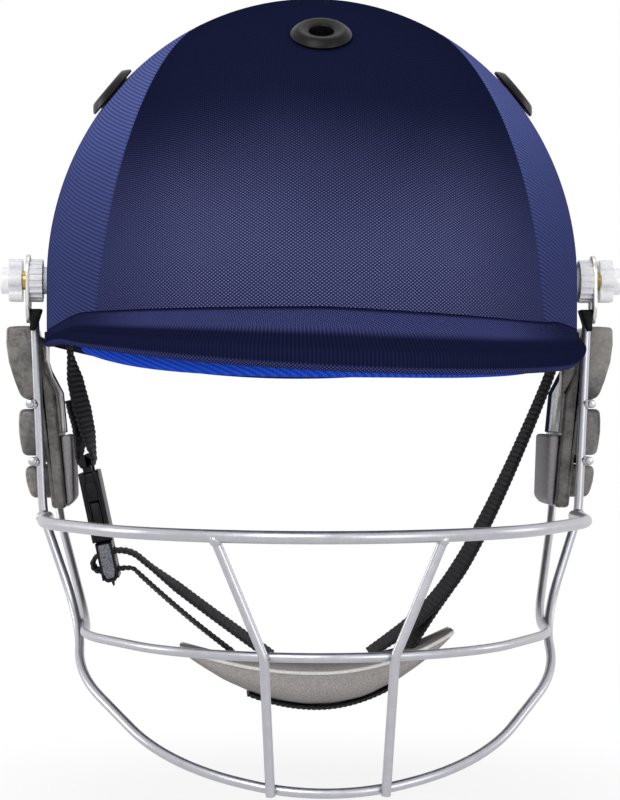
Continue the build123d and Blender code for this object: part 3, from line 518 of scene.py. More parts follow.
def wireSteel(look):
    # satin grey lacquer over steel wire, with faint drawn marks
    material, tree, shader = newMaterial(**look["shader"])
    grain = noiseOn(objectPlace(tree), *look["grainNoise"])
    paint(shader, grain, *look["colours"])
    plug(ramp(grain, *look["gloss"]), shader.inputs["Roughness"])
    bumpTo(shader, grain, *look["bump"])
    return material


plateLook = {
    "shader": {"name": "plateSteel", "colour": (205, 204, 200), "roughness": 0.3, "metallic": 1},
    "stretch": (1, 1, 0.06),
    "brushNoise": (1500, 2, 0.5),
    "colours": ((176, 175, 172), (226, 226, 222)),
    "bump": (0.15, 0.05 * mm),
}


def plateSteel(look):
    # bright pressed steel with fine upright brushing
    material, tree, shader = newMaterial(**look["shader"])
    brushMapAndSheenShare = setInputs(newNode(tree, "ShaderNodeMapping"), {"Scale": look["stretch"]})
    setInputs(brushMapAndSheenShare, {"Vector": objectPlace(tree)})
    brushed = noiseOn(brushMapAndSheenShare.outputs[0], *look["brushNoise"])
    paint(shader, brushed, *look["colours"])
    bumpTo(shader, brushed, *look["bump"])
    return material


brassLook = {
    "shader": {"name": "turnedBrass", "colour": (202, 168, 96), "roughness": 0.25, "metallic": 1},
    "ringPitch": 0.5 * mm,
    "colours": ((150, 116, 56), (226, 196, 124)),
}


def brassTurned(look):
    material, tree, shader = newMaterial(**look["shader"])
    ring = waveOf(axesOf(objectPlace(tree))[0], look["ringPitch"])
    paint(shader, ramp(ring, -1, 1), *look["colours"])
    return material


materials = {
    "navy_cloth": centreCloth(navyKnit),
    "blue_cloth": sideCloth(blueRib),
    "peakCloth": peakCloth(peakKnit),
    "royal_cloth": royalCloth(royalTwill),
    "binding_tape": speckled("bindingTape", (24, 26, 50), (44, 47, 78), 0.7, 1400),
    "shell_plastic": speckled("shellPlastic", (20, 21, 30), (30, 32, 44), 0.5, 300, bump=0.15),
    "liner_foam": speckled("linerFoam", (34, 34, 38), (62, 62, 66), 0.85, 420, bump=0.6, distance=0.6),
    "pad_cloth": speckled("padCloth", (34, 35, 42), (58, 60, 70), 0.9, 1300, bump=0.5),
    "dark_plastic": speckled("eyeletPlastic", (12, 10, 12), (20, 17, 19), 0.36, 500, bump=0.08, coat=0.02,
                             specular=0.14),
    "white_plastic": speckled("whitePlastic", (226, 226, 228), (240, 240, 242), 0.3, 700, bump=0.1, coat=0.2,
                              specular=0.5),
    "insert_brass": brassTurned(brassLook),
    "bolt_steel": speckled("boltSteel", (150, 150, 152), (190, 190, 192), 0.35, 600, bump=0.1, specular=0.5,
                           metallic=1),
    "bracket_steel": plateSteel(plateLook),
    "buffer_rubber": speckled("bufferRubber", (16, 16, 17), (28, 28, 29), 0.6, 900, specular=0.1),
    "wire_steel": wireSteel(wireLook),
    "guard_plastic": guardPlastic(guardLook),
    "ear_foam": speckled("earFoam", (150, 148, 150), (176, 173, 175), 0.85, 1500, bump=0.4),
    "lining_cloth": speckled("liningCloth", (30, 34, 66), (48, 52, 92), 0.8, 1500, bump=0.4),
    "webbing": webbingCloth(blackTwill),
    "buckle_plastic": speckled("bucklePlastic", (15, 15, 18), (26, 26, 30), 0.4, 700, bump=0.12,
                               specular=0.14),
    "prong_plastic": speckled("prongPlastic", (70, 72, 80), (136, 138, 146), 0.6, 1600, bump=0.7,
                              distance=0.3, specular=0.1),
    "cup_cloth": speckled("cupCloth", (140, 136, 134), (172, 168, 165), 0.9, 1800, bump=0.5),
    "piping": speckled("pipingCloth", (208, 207, 204), (232, 231, 228), 0.8, 1500),
}
print("Materials ready:", len(bpy.data.materials))


# Mesh helpers

finish = {
    "mergeGap": 0.002 * mm,
    "flatAngle": 1,
    "edgeAngle": 30,
    "slabAngle": 20,
    "turnedGap": 0.01 * mm,
    "cutGap": 0.001 * mm,
}


def smoothEdges(bm, sharpAngle):
    limit = math.radians(sharpAngle)
    for face in bm.faces:
        face.smooth = True
    for edge in bm.edges:
        edge.smooth = len(edge.link_faces) != 2 or edge.calc_face_angle(0) < limit


def newPiece(name, bm, slotName, stands=(), sharpAngle=60, body=None, material=None):
    # where no body is given, a piece rides with the node that it stands for
    body = body or bodyOf[stands[0]]
    smoothEdges(bm, sharpAngle)
    mesh = bpy.data.meshes.new(name)
    bm.to_mesh(mesh)
    bm.free()
    mesh.materials.append(material or materials[slotName])
    piece = bpy.data.objects.new(name, mesh)
    bpy.context.scene.collection.objects.link(piece)
    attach(piece, body)
    if stands:
        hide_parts(*stands)
    return piece


def meshOf(node):
    # a merged copy of a CAD node's mesh
    bm = bmesh.new()
    bm.from_mesh(nodes[node].data)
    bmesh.ops.remove_doubles(bm, verts=bm.verts, dist=finish["mergeGap"])
    return bm


def bevelEdges(bm, edges, offset, segments):
    bmesh.ops.bevel(bm, geom=edges, offset=offset, segments=segments, profile=0.5, affect="EDGES",
                    material=-1, clamp_overlap=True)


def roundedCopy(node, bevel=0.0, segments=2, material=None):
    bm = meshOf(node)
    if bevel:
        bmesh.ops.dissolve_limit(bm, angle_limit=math.radians(finish["flatAngle"]), verts=bm.verts,
                                 edges=bm.edges)
        limit = math.radians(finish["edgeAngle"])
        bevelEdges(bm, [edge for edge in bm.edges if edge.calc_face_angle(0) > limit], bevel, segments)
    return newPiece(node + "_finish", bm, slotOf[node], (node,), finish["edgeAngle"], material=material)


def loft(bm, rows, place, points):
    # a ring drawn on from row to row; place gives each point of each row
    for tag in ("row", "point"):
        if tag not in bm.verts.layers.int:
            bm.verts.layers.int.new(tag)
    row, point = (bm.verts.layers.int[tag] for tag in ("row", "point"))
    ring = bmesh.ops.create_circle(bm, cap_ends=False, segments=points, radius=1)["verts"]
    for number, vert in enumerate(ring):
        vert.co = place(0, number)
        vert[point] = number
        vert[row] = 0
    edges = list({edge for vert in ring for edge in vert.link_edges})
    first = edges
    for step in range(1, rows):
        drawn = bmesh.ops.extrude_edge_only(bm, edges=edges)["geom"]
        edges = [item for item in drawn if isinstance(item, bmesh.types.BMEdge)]
        for vert in drawn:
            if isinstance(vert, bmesh.types.BMVert):
                vert.co = place(step, vert[point])
                vert[row] = step
    for end in (first, edges):
        bmesh.ops.contextual_create(bm, geom=end)
    bmesh.ops.recalc_face_normals(bm, faces=bm.faces)
    return row, point


def turned(profile, steps):
    # a profile of radius and height, turned about Z
    bm = bmesh.new()
    line = [bm.verts.new((radius, 0, height)) for radius, height in profile]
    edges = [bm.edges.new(pair) for pair in zip(line, line[1:])]
    bmesh.ops.spin(bm, geom=line + edges, axis=(0, 0, 1), cent=(0, 0, 0), dvec=(0, 0, 0),
                   angle=2 * math.pi, steps=steps, use_merge=True)
    bmesh.ops.remove_doubles(bm, verts=bm.verts, dist=finish["turnedGap"])
    return bm


def slab(bm, outline, low, high, side=1, bevel=0.0, segments=3):
    # an outline in the front view, drawn out along Y and rounded all round
    known = set(bm.edges)
    ring = bmesh.ops.create_circle(bm, cap_ends=True, segments=len(outline), radius=1)["verts"]
    for vert, (x, z) in zip(ring, outline):
        vert.co = (side * x, low, z)
    drawn = bmesh.ops.extrude_face_region(bm, geom=[ring[0].link_faces[0]])["geom"]
    moved = [item for item in drawn if isinstance(item, bmesh.types.BMVert)]
    bmesh.ops.translate(bm, verts=moved, vec=(0, high - low, 0))
    edges = [edge for edge in bm.edges if edge not in known]
    bmesh.ops.recalc_face_normals(bm, faces=bm.faces)
    if bevel:
        limit = math.radians(finish["slabAngle"])
        bevelEdges(bm, [edge for edge in edges if abs(edge.calc_face_angle(0)) > limit], bevel, segments)


def runsAlong(line):
    # which way the line runs at each of its points
    last = len(line) - 1
    return [(line[min(number + 1, last)] - line[max(number - 1, 0)]).normalized()
            for number in range(last + 1)]


def tube(bm, line, radius, points):
    # a round tube along a line
    frames = []
    for centre, run in zip(line, runsAlong(line)):
        sideways = run.cross(Vector((0, 0, 1)))
        if sideways.length < 0.1:  # an upright run
            sideways = run.cross(Vector((0, 1, 0)))
        sideways.normalize()
        frames.append((centre, sideways * radius, sideways.cross(run) * radius))

    def place(row, point):
        centre, sideways, up = frames[row]
        angle = 2 * math.pi * point / points
        return centre + sideways * math.cos(angle) + up * math.sin(angle)
    loft(bm, len(line), place, points)


def setCloth(bm, place):
    # the piece's own map, in metres of cloth
    layer = bm.loops.layers.uv.new("cloth")
    for face in bm.faces:
        for loop in face.loops:
            loop[layer].uv = place(loop.vert.co)


def roundPath(points, rounds=4):
    # corners cut again and again: a smooth line that touches the middle of each run
    line = [Vector(point) for point in points]
    for turn in range(rounds):
        cut = [line[0]]
        for number, (first, second) in enumerate(zip(line, line[1:])):
            if number > 0:
                cut.append(first.lerp(second, 0.25))
            if number < len(line) - 2:
                cut.append(first.lerp(second, 0.75))
        cut.append(line[-1])
        line = cut
    return line


def shares(steps):
    return [step / steps for step in range(steps + 1)]


def runningLengths(points):
    lengths = [0.0]
    for first, second in zip(points, points[1:]):
        lengths.append(lengths[-1] + (second - first).length)
    return lengths


def evenPath(line, step):
    # the same line in even steps, and its length
    lengths = runningLengths(line)
    count = max(2, round(lengths[-1] / step))
    result = []
    run = 0
    for number in range(count + 1):
        target = lengths[-1] * number / count
        while run < len(line) - 2 and lengths[run + 1] < target:
            run += 1
        span = lengths[run + 1] - lengths[run]
        result.append(line[run].lerp(line[run + 1], (target - lengths[run]) / span if span else 0))
    return result, lengths[-1]


def signedPower(value, power):
    return math.copysign(abs(value) ** power, value)


def smoothShare(value, low, high):
    share = min(1, max(0, (value - low) / (high - low)))
    return share * share * (3 - 2 * share)


def inMetres(points):
    return [(x * mm, z * mm) for x, z in points]


def soften(piece):
    smooth = piece.modifiers.new("soften", "SUBSURF")
    smooth.levels = 1
    smooth.render_levels = 1


# The dome's cloth in three panels

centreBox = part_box("cover_centre")
dome = {
    "halfWidth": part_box("cover_right")[1].x,
    "centreY": (centreBox[0].y + centreBox[1].y) / 2,
    "halfLength": (centreBox[1].y - centreBox[0].y) / 2,
    "height": centreBox[1].z,
    "rimFront": -34 * mm,
    "rimSide": -24 * mm,
    "rimNape": -36 * mm,
    "seamX": 57.9 * mm,
    "seamBackLean": 0.283,
    "seamUpLean": 0.166,
    "seamFold": 1.3 * mm,
    "seamTuck": 0.75 * mm,
    "ribSlant": 0.28,
    "centreClothShare": 0.92,
    "sideClothShare": 0.9,
    "around": 200,
    "up": 60,
    "skirtSteps": 14,
}

# vent eyelets, whose holes go through the cloth
eyelet = {
    "steps": 72,
    "clothHole": 8.2 * mm,
    "spots": {
        "crown": (0, -73 * mm),
        "rear": (0, 92 * mm),
        "left": (-76 * mm, -12 * mm),
        "right": (76 * mm, -12 * mm),
    },
    # radius and height in mm: the barrel, a domed flange with a bright bevel, a dished ring round the hole
    "profile": ((7.6, -7), (7.6, 0.2), (10.7, 0.2), (11, 0.8), (10.5, 1.5), (9.0, 2.75), (8.2, 3.2),
                (7.0, 3.1), (5.9, 2.5), (5.0, 2.4), (4.5, 1.9), (4.5, -7), (7.6, -7)),
}


def backShare(y):
    return (y - dome["centreY"]) / dome["halfLength"]


def rimHeight(y):
    share = backShare(y)
    end = dome["rimFront"] if share < 0 else dome["rimNape"]
    return dome["rimSide"] + (end - dome["rimSide"]) * share * share


def domePoint(x, y):
    share = 1 - (x / dome["halfWidth"]) ** 2 - backShare(y) ** 2
    return Vector((x, y, dome["height"] * math.sqrt(share)))


def outwards(point):
    # away from the dome's surface
    up = max(point.z, 0) / dome["height"] ** 2
    along = (point.y - dome["centreY"]) / dome["halfLength"] ** 2
    return Vector((point.x / dome["halfWidth"] ** 2, along, up)).normalized()


def domeSkin():
    # half an egg with a skirt down to the rim, open inside each eyelet
    halfWidth = dome["halfWidth"]
    angles = [math.pi / 2 * share for share in shares(dome["up"])]
    profile = [(halfWidth * math.sin(angle), dome["height"] * math.cos(angle)) for angle in angles]
    profile += [(halfWidth, -share) for share in shares(dome["skirtSteps"])[1:]]
    bm = turned(profile, dome["around"])
    bmesh.ops.scale(bm, vec=(1, dome["halfLength"] / halfWidth, 1), verts=bm.verts)
    bmesh.ops.translate(bm, vec=(0, dome["centreY"], 0), verts=bm.verts)
    for vert in bm.verts:
        if vert.co.z < 0:
            vert.co.z *= -rimHeight(vert.co.y)
    bmesh.ops.recalc_face_normals(bm, faces=bm.faces)
    hubs = [domePoint(*spot) for spot in eyelet["spots"].values()]
    inside = [face for face in bm.faces
              if any((face.calc_center_median() - hub).length < eyelet["clothHole"] for hub in hubs)]
    bmesh.ops.delete(bm, geom=inside, context="FACES")
    return bm


def seamPlane(side):
    normal = Vector((side, dome["seamBackLean"], dome["seamUpLean"])).normalized()
    return Vector((side * dome["seamX"], 0, 0)), normal


def cutSeam(bm, side, way):
    # the panel ends at the seam, with two more lines for its fold; way is 1 for side panels, -1 for the centre
    point, normal = seamPlane(side)
    for share in (0, 0.5, 1):
        geometry = bm.verts[:] + bm.edges[:] + bm.faces[:]
        bmesh.ops.bisect_plane(bm, geom=geometry, plane_co=point + normal * (way * share * dome["seamFold"]),
                               plane_no=normal, clear_outer=not share and way < 0,
                               clear_inner=not share and way > 0, dist=finish["cutGap"])


def tuckSeam(bm, side):
    point, normal = seamPlane(side)
    for vert in bm.verts:
        gap = abs((vert.co - point).dot(normal))
        if gap < dome["seamFold"]:
            share = 1 - gap / dome["seamFold"]
            vert.co -= outwards(vert.co) * dome["seamTuck"] * share * share


def centreUv(point):
    across = max(-1, min(1, point.x / dome["halfWidth"]))
    up = max(point.z, 0) / dome["height"]
    along = math.atan2(up, -backShare(point.y)) * dome["halfLength"] * dome["centreClothShare"]
    return math.asin(across) * dome["halfWidth"], along + min(point.z, 0)


def sideUv(point, side):
    up = max(0, min(1, point.z / dome["height"]))
    turn = math.atan2(backShare(point.y), abs(point.x) / dome["halfWidth"])
    around = turn * dome["halfLength"] * dome["sideClothShare"]
    return around, math.asin(up) * dome["height"] + min(point.z, 0) + side * dome["ribSlant"] * around


def makeDomeCloth():
    bm = domeSkin()
    for side in (-1, 1):
        cutSeam(bm, side, -1)
    for side in (-1, 1):
        tuckSeam(bm, side)
    setCloth(bm, centreUv)
    newPiece("cloth_centre", bm, "navy_cloth", ("cover_centre",))
    for name, side in sides:
        bm = domeSkin()
        cutSeam(bm, side, 1)
        tuckSeam(bm, side)
        setCloth(bm, lambda point, side=side: sideUv(point, side))
        newPiece(f"cloth_{name}", bm, "blue_cloth", (f"cover_{name}",))


makeDomeCloth()
print("Dome cloth ready")


# The peak's cloth

peak = {
    "halfWidth": 102.3 * mm,
    "halfLength": 149.2 * mm,
    "centreY": -11 * mm,
    "creaseZ": -12.8 * mm,
    "creaseSink": 1.6 * mm,
    "endSink": 8 * mm,
    "endFrom": 84 * mm,
    "endTo": 103 * mm,
    "endLift": 3 * mm,
    "rimFloorZ": -25 * mm,
    "rimRise": 4.5,
    "rimHeight": 8 * mm,
    "rimRound": 3.7 * mm,
    "leastReach": 0.5 * mm,
    "land": 3.4 * mm,
    "underDrop": 8 * mm,
    "endTurn": 1.5,
    "creaseEndTurn": 10.4,
    "around": 160,
    "roll": 2.8,
    "rollFloor": 9 * mm,
    "rollStartY": -15 * mm,
    "rollRun": 70 * mm,
    "topSteps": 12,
    "roundSteps": 6,
    "underSteps": 5,
}


def peakTurn(share, endTurn):
    return math.radians(endTurn) + share * (math.pi - 2 * math.radians(endTurn))


def peakSection(share):
    # one slice of the peak, from the crease over the rim to the hollow under it, as points
    turn = peakTurn(share, peak["endTurn"])
    creaseTurn = peakTurn(share, peak["creaseEndTurn"])
    crease = Vector((dome["halfWidth"] * math.cos(creaseTurn),
                     dome["centreY"] - dome["halfLength"] * math.sin(creaseTurn), peak["creaseZ"]))
    rimX = peak["halfWidth"] * math.cos(turn)
    rimY = peak["centreY"] - peak["halfLength"] * math.sin(turn)
    floor = peak["rimFloorZ"] + (rimY - peak["centreY"]) * math.tan(math.radians(peak["rimRise"]))
    rim = Vector((rimX, rimY, floor + peak["rimHeight"]))
    out = Vector((rim.x - crease.x, rim.y - crease.y, 0))
    reach = max(out.length, peak["leastReach"])
    inwards = -out.normalized()
    curve = min(peak["rimRound"], reach)
    up = Vector((0, 0, 1))
    top = rim + inwards * curve
    points = [crease.lerp(top, part) for part in shares(peak["topSteps"])]
    hub = top - up * peak["rimRound"]
    low = top - up * (peak["rimHeight"] - peak["rimRound"])
    for centre, begin in ((hub, 90), (low, 0)):
        # the first arc starts where the top ends
        for part in shares(peak["roundSteps"])[1 if begin else 0:]:
            angle = math.radians(begin - 90 * part)
            points.append(centre - inwards * curve * math.cos(angle)
                          + up * peak["rimRound"] * math.sin(angle))
    land = rim + inwards * max(curve, min(peak["land"] + curve, reach)) - up * peak["rimHeight"]
    under = crease - up * peak["underDrop"]
    points += [land.lerp(under, part) for part in shares(peak["underSteps"])]
    return [peakRoll(point) for point in points]


def peakRoll(point):
    # as in the photo, the crease sinks towards both ends and the front of the peak hangs lower on the right
    upper = smoothShare(point.z, peak["rimFloorZ"] - peak["rollFloor"], peak["creaseZ"])
    ends = smoothShare(abs(point.x), peak["endFrom"], peak["endTo"])
    ahead = smoothShare(peak["rollStartY"] - point.y, 0, peak["rollRun"])
    share = ahead * (1 - upper if point.x < 0 else 1)
    sink = upper * (peak["creaseSink"] + peak["endSink"] * ends) - peak["endLift"] * ends
    return point - Vector((0, 0, sink + point.x * math.tan(math.radians(peak["roll"])) * share))


def makePeakCloth():
    # the first slice is extruded sideways, slice by slice
    bm = bmesh.new()
    slices = [peakSection(share) for share in shares(peak["around"])]
    rolled = runningLengths(slices[len(slices) // 2])
    spread = runningLengths([points[peak["topSteps"]] for points in slices])
    row, point = loft(bm, len(slices), lambda row, point: slices[row][point], len(slices[0]))
    layer = bm.loops.layers.uv.new("cloth")
    for face in bm.faces:
        for loop in face.loops:
            loop[layer].uv = (spread[loop.vert[row]], rolled[loop.vert[point]])
    newPiece("cloth_peak", bm, "navy_cloth", ("peak_cover",), sharpAngle=50, material=materials["peakCloth"])


makePeakCloth()
print("Peak cloth ready")


# Rim tape, brow band and vent eyelets

rimTape = {
    "frontY": -15 * mm,
    "around": 150,
    # its section in mm, outwards from the dome's side and up from its rim
    "section": ((0.8, 4.2), (0.8, 0.2), (0.1, -0.6), (-4.4, -0.6), (-5.0, 0.2), (-5.0, 4.2), (-3.9, 4.2),
                (-0.3, 4.2)),
}


def makeRimTape():
    # a tape folded round the rim, from one end of the peak to the other
    bm = bmesh.new()
    section = inMetres(rimTape["section"])
    start = math.asin(-backShare(rimTape["frontY"]))

    def place(row, point):
        turn = -start + row / rimTape["around"] * (math.pi + 2 * start)
        grow, lift = section[point]
        x = (dome["halfWidth"] + grow) * math.cos(turn)
        y = dome["centreY"] + (dome["halfLength"] + grow) * math.sin(turn)
        return Vector((x, y, rimHeight(y) + lift))
    loft(bm, rimTape["around"] + 1, place, len(section))
    newPiece("rim_tape", bm, "binding_tape", ("rim_binding",))


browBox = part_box("brow_band")
brow = {
    "grow": -5.4 * mm,
    "depth": 12 * mm,
    "topZ": browBox[1].z,
    "frontZ": browBox[0].z,
    "lift": 0.2 * mm,
    "rise": 0.081,
    "bow": 0.88,
    "sag": 0.8,
    "sagFade": 12 * mm,
    "endY": browBox[1].y,
    "around": 120,
    "points": 28,
    "squareness": 0.45,
    "clothLean": 0.3,
}


def makeBrowBand():
    # a padded band, crowned below, deepest at the middle of the brow
    bm = bmesh.new()
    halfWidth = dome["halfWidth"] + brow["grow"] - brow["depth"] / 2
    halfLength = dome["halfLength"] + brow["grow"] - brow["depth"] / 2
    start = math.asin((dome["centreY"] - brow["endY"]) / halfLength)
    frontY = dome["centreY"] - halfLength - brow["depth"] / 2

    def place(row, point):
        turn = math.pi + start + row / brow["around"] * (math.pi - 2 * start)
        centre = Vector((halfWidth * math.cos(turn), dome["centreY"] + halfLength * math.sin(turn), 0))
        radial = Vector((math.cos(turn) / halfWidth, math.sin(turn) / halfLength, 0)).normalized()
        back = centre.y - frontY
        floor = brow["frontZ"] + brow["lift"] + back * brow["rise"] + back * back * brow["bow"]
        sag = brow["sag"] * smoothShare(brow["endY"] - centre.y, 0, brow["sagFade"])
        floor -= sag * max(centre.x, 0) ** 2
        angle = 2 * math.pi * point / brow["points"]
        across = signedPower(math.cos(angle), brow["squareness"]) * brow["depth"] / 2
        up = signedPower(math.sin(angle), brow["squareness"]) * (brow["topZ"] - floor) / 2
        return centre + radial * across + Vector((0, 0, (brow["topZ"] + floor) / 2 + up))
    loft(bm, brow["around"] + 1, place, brow["points"])
    setCloth(bm, lambda point: (math.atan2(point.x, -point.y) * dome["halfWidth"],
                                point.z + point.y * brow["clothLean"]))
    band = newPiece("brow_cloth", bm, "royal_cloth", ("brow_band",), sharpAngle=70)


def makeEyelets():
    for name, spot in eyelet["spots"].items():
        bm = turned(inMetres(eyelet["profile"]), eyelet["steps"])
        bmesh.ops.recalc_face_normals(bm, faces=bm.faces)
        point = domePoint(*spot)
        turn = Vector((0, 0, 1)).rotation_difference(outwards(point)).to_matrix().to_4x4()
        bmesh.ops.transform(bm, matrix=Matrix.Translation(point) @ turn, verts=bm.verts)
        newPiece(f"eyelet_{name}", bm, "dark_plastic", (f"vent_eyelet_{name}",), sharpAngle=40)


makeRimTape()
makeBrowBand()
makeEyelets()
print("Trim ready")


# Straps

webbing = {
    "width": 19 * mm,
    "thick": 1.55 * mm,
    "ribPitch": 2.0 * mm,
    "ribHeight": 0.32 * mm,
    "edgeRib": 0.3 * mm,
    "edgeSquareness": 0.35,
    "faceSquareness": 0.6,
    "step": 0.5 * mm,
    "points": 20,
    "rivetZ": -17.2 * mm,
    "strapX": 94.2 * mm,
    "bendZ": -26.7 * mm,
    "barX": 86.8 * mm,
    "barZ": -69.2 * mm,
    "barReach": 2.75 * mm,
    "barTurns": (0, 45, 90, 135, 180),
    "barLead": -2 * mm,
    "tilt": 12,
    "slots": (36.2 * mm, 43.4 * mm),
    "slotExit": 8.5 * mm,
    "slotLoop": 6 * mm,
    # routes in mm in the front view, and twists in degrees at shares of the length
    "leftEnd": ((-88.9, -57.4), (-91.75, -45.7)),
    "leftTwists": ((0, 0), (0.22, -1), (0.32, -14), (0.45, -17), (0.55, -13), (0.64, -2), (0.75, 2),
                   (0.85, 12), (0.95, 17), (1, 17)),
    "strandUp": ((-15.5, -145), (-36, -130.3), (-62, -110.6)),
    "strandDown": ((-66.5, -113.4), (-47, -130.6), (-31, -143)),
    "strandTwists": ((0, 7), (0.3, 6), (0.38, 0), (0.62, 0), (0.7, 6), (1, 7)),
    "right": ((93.2, -36), (64.5, -100.5), (45.5, -128), (22, -144)),
    "rightTwists": ((0, 0), (0.1, 1), (0.3, 4), (0.7, 11), (0.85, 9), (1, 4)),
    "fork": ((52, -118.6), (45.5, -128), (37, -142)),
    "forkTwists": ((0, 10), (1, 6)),
}


def buckleSpot(across, down):
    # a point in the buckle's own plane: across its thickness, and down from its bar
    tilt = math.radians(webbing["tilt"])
    return (-webbing["barX"] + across * math.cos(tilt) + down * math.sin(tilt),
            webbing["barZ"] + across * math.sin(tilt) - down * math.cos(tilt))


def knotValue(knots, share):
    for (low, first), (high, second) in zip(knots, knots[1:]):
        if share <= high:
            return first + (second - first) * (share - low) / max(high - low, 0.001)
    return knots[-1][1]


def webbingPiece(name, routes, node):
    # ribbed webbing along flat routes in the front view, each with its twists
    bm = bmesh.new()
    layer = bm.loops.layers.uv.new("cloth")
    for route, twists in routes:
        known = set(bm.faces)
        line, length = evenPath(roundPath([(x, 0, z) for x, z in route]), webbing["step"])
        frames = []
        for centre, run, along in zip(line, runsAlong(line), shares(len(line) - 1)):
            normal = Vector((run.z, 0, -run.x))
            turn = math.radians(knotValue(twists, along))
            rib = abs(math.cos(math.pi * length * along / webbing["ribPitch"])) - 0.5
            across = Vector((0, math.cos(turn), 0)) + normal * math.sin(turn)
            through = normal * math.cos(turn) - Vector((0, math.sin(turn), 0))
            frames.append((centre, across * (webbing["width"] / 2 + webbing["edgeRib"] * rib),
                           through * (webbing["thick"] / 2 + webbing["ribHeight"] * rib)))

        def place(row, point):
            centre, across, through = frames[row]
            angle = 2 * math.pi * point / webbing["points"]
            return (centre + across * signedPower(math.cos(angle), webbing["edgeSquareness"])
                    + through * signedPower(math.sin(angle), webbing["faceSquareness"]))
        row = loft(bm, len(line), place, webbing["points"])[0]
        for face in bm.faces:
            if face not in known:
                for loop in face.loops:
                    loop[layer].uv = (loop.vert.co.y, length * loop.vert[row] / (len(line) - 1))
    newPiece(name, bm, "webbing", (node,))


def makeStraps():
    x = webbing["strapX"]
    reach = webbing["barReach"]
    lead = webbing["barLead"]
    hang = [(x, webbing["rivetZ"] + webbing["width"] / 2), (x, webbing["bendZ"])]
    angles = [math.radians(turn) for turn in webbing["barTurns"]]
    left = [(-x, z) for x, z in hang] + [buckleSpot(reach, lead)]
    left += [buckleSpot(reach * math.cos(angle), reach * math.sin(angle)) for angle in angles]
    left += [buckleSpot(-reach, lead), *inMetres(webbing["leftEnd"])]
    webbingPiece("strap_webbing_left", [(left, webbing["leftTwists"])], "strap_left")
    first, second = (Vector(buckleSpot(0, down)) for down in webbing["slots"])
    lean = math.radians(webbing["tilt"])
    out = Vector((math.cos(lean), math.sin(lean)))
    turns = [first + out * webbing["slotExit"], first - out * webbing["slotLoop"],
             second - out * webbing["slotLoop"], second + out * webbing["slotExit"]]
    strand = [*inMetres(webbing["strandUp"]), *map(tuple, turns), *inMetres(webbing["strandDown"])]
    webbingPiece("strand_webbing_left", [(strand, webbing["strandTwists"])], "lower_strap_left")
    right = hang + inMetres(webbing["right"])
    fork = inMetres(webbing["fork"])
    webbingPiece("strap_webbing_right", [(right, webbing["rightTwists"]), (fork, webbing["forkTwists"])],
                 "strap_right")


# Chin cup

cup = {
    "halfWidth": 53 * mm,
    "middleX": 1.6 * mm,
    "leftTipZ": -140.2 * mm,
    "rightTipZ": -134.5 * mm,
    "topZ": -145.2 * mm,
    "bottomZ": -163.2 * mm,
    "depth": 32 * mm,
    "tipDepth": 13 * mm,
    "tipHeight": 1.6 * mm,
    "tipReach": 0.995,
    "steps": 84,
    "points": 40,
    "acrossSquareness": 0.62,
    "upSquareness": 0.8,
    "dish": 2.2 * mm,
    "keel": 0.22,
    "seamShare": 0.30,
    "seamWidth": 0.16,
    "seamReach": 0.95,
    "seamDip": 0.9 * mm,
    "wrinkleScale": 130,
    "wrinkle": 0.35 * mm,
    "pipingRadius": 0.75 * mm,
    "pipingReach": 0.985,
    "pipingAngle": 0.42,
    "pipingSteps": 120,
    "strapFrom": -0.5,
    "strapRun": 1.05,
    "strapSteps": 40,
    "strapDrop": 1.0 * mm,
}


def cupFrame(t):
    # t from -1 at the left tip to 1 at the right tip
    tip = cup["leftTipZ"] if t < 0 else cup["rightTipZ"]
    top = cup["topZ"] + (tip - cup["topZ"]) * t * t
    bottom = cup["bottomZ"] + (tip - cup["tipHeight"] - cup["bottomZ"]) * t * t
    fade = max(0.0, 1 - abs(t) ** 4) ** 0.5
    depth = cup["tipDepth"] + (cup["depth"] - cup["tipDepth"]) * fade
    return cup["middleX"] + cup["halfWidth"] * t, top, bottom, depth


def cupPoint(t, angle):
    x, top, bottom, depth = cupFrame(t)
    half = (top - bottom) / 2
    across = signedPower(math.cos(angle), cup["acrossSquareness"]) * depth / 2
    up = signedPower(math.sin(angle), cup["upSquareness"]) * half
    if up > 0:
        up -= cup["dish"] * (1 - (2 * across / depth) ** 2) * (1 - t * t)
    else:
        across *= 1 - cup["keel"] * (up / half) ** 2
    return Vector((x, across, (top + bottom) / 2 + up))


def makeChinCup():
    # padded cup, its top panel sewn to the body panel by a seam that dips all round
    bm = bmesh.new()

    def place(row, point):
        t = -math.cos(math.pi * row / cup["steps"]) * cup["tipReach"]
        angle = 2 * math.pi * point / cup["points"]
        spot = cupPoint(t, angle)
        gap = abs(math.sin(angle) - cup["seamShare"])
        if gap < cup["seamWidth"] and abs(t) < cup["seamReach"]:
            inwards = (Vector((spot.x, 0, spot.z)) - spot).normalized()
            spot += inwards * cup["seamDip"] * (1 - gap / cup["seamWidth"]) ** 2
        return spot + Vector((0, 0, noise.noise(spot * cup["wrinkleScale"]) * cup["wrinkle"]))
    loft(bm, cup["steps"] + 1, place, cup["points"])
    body = newPiece("cup_padding", bm, "cup_cloth", ("chin_cup",), sharpAngle=80)
    soften(body)
    for name, angle in (("front", math.pi - cup["pipingAngle"]), ("back", cup["pipingAngle"])):
        bm = bmesh.new()
        line = [cupPoint((2 * share - 1) * cup["pipingReach"], angle) for share in shares(cup["pipingSteps"])]
        tube(bm, line, cup["pipingRadius"], 8)
        newPiece(f"cup_piping_{name}", bm, "cup_cloth", body="harness", material=materials["piping"])


def makeCupStrap():
    line = []
    for share in shares(cup["strapSteps"]):
        x, bottom = cupFrame(cup["strapFrom"] + cup["strapRun"] * share)[::2]
        line.append((x, bottom - cup["strapDrop"]))
    webbingPiece("cup_webbing", [(line, ((0, 0), (1, 0)))], "chin_cup_strap")


makeStraps()
makeChinCup()
makeCupStrap()
print("Harness ready")


# Buckle

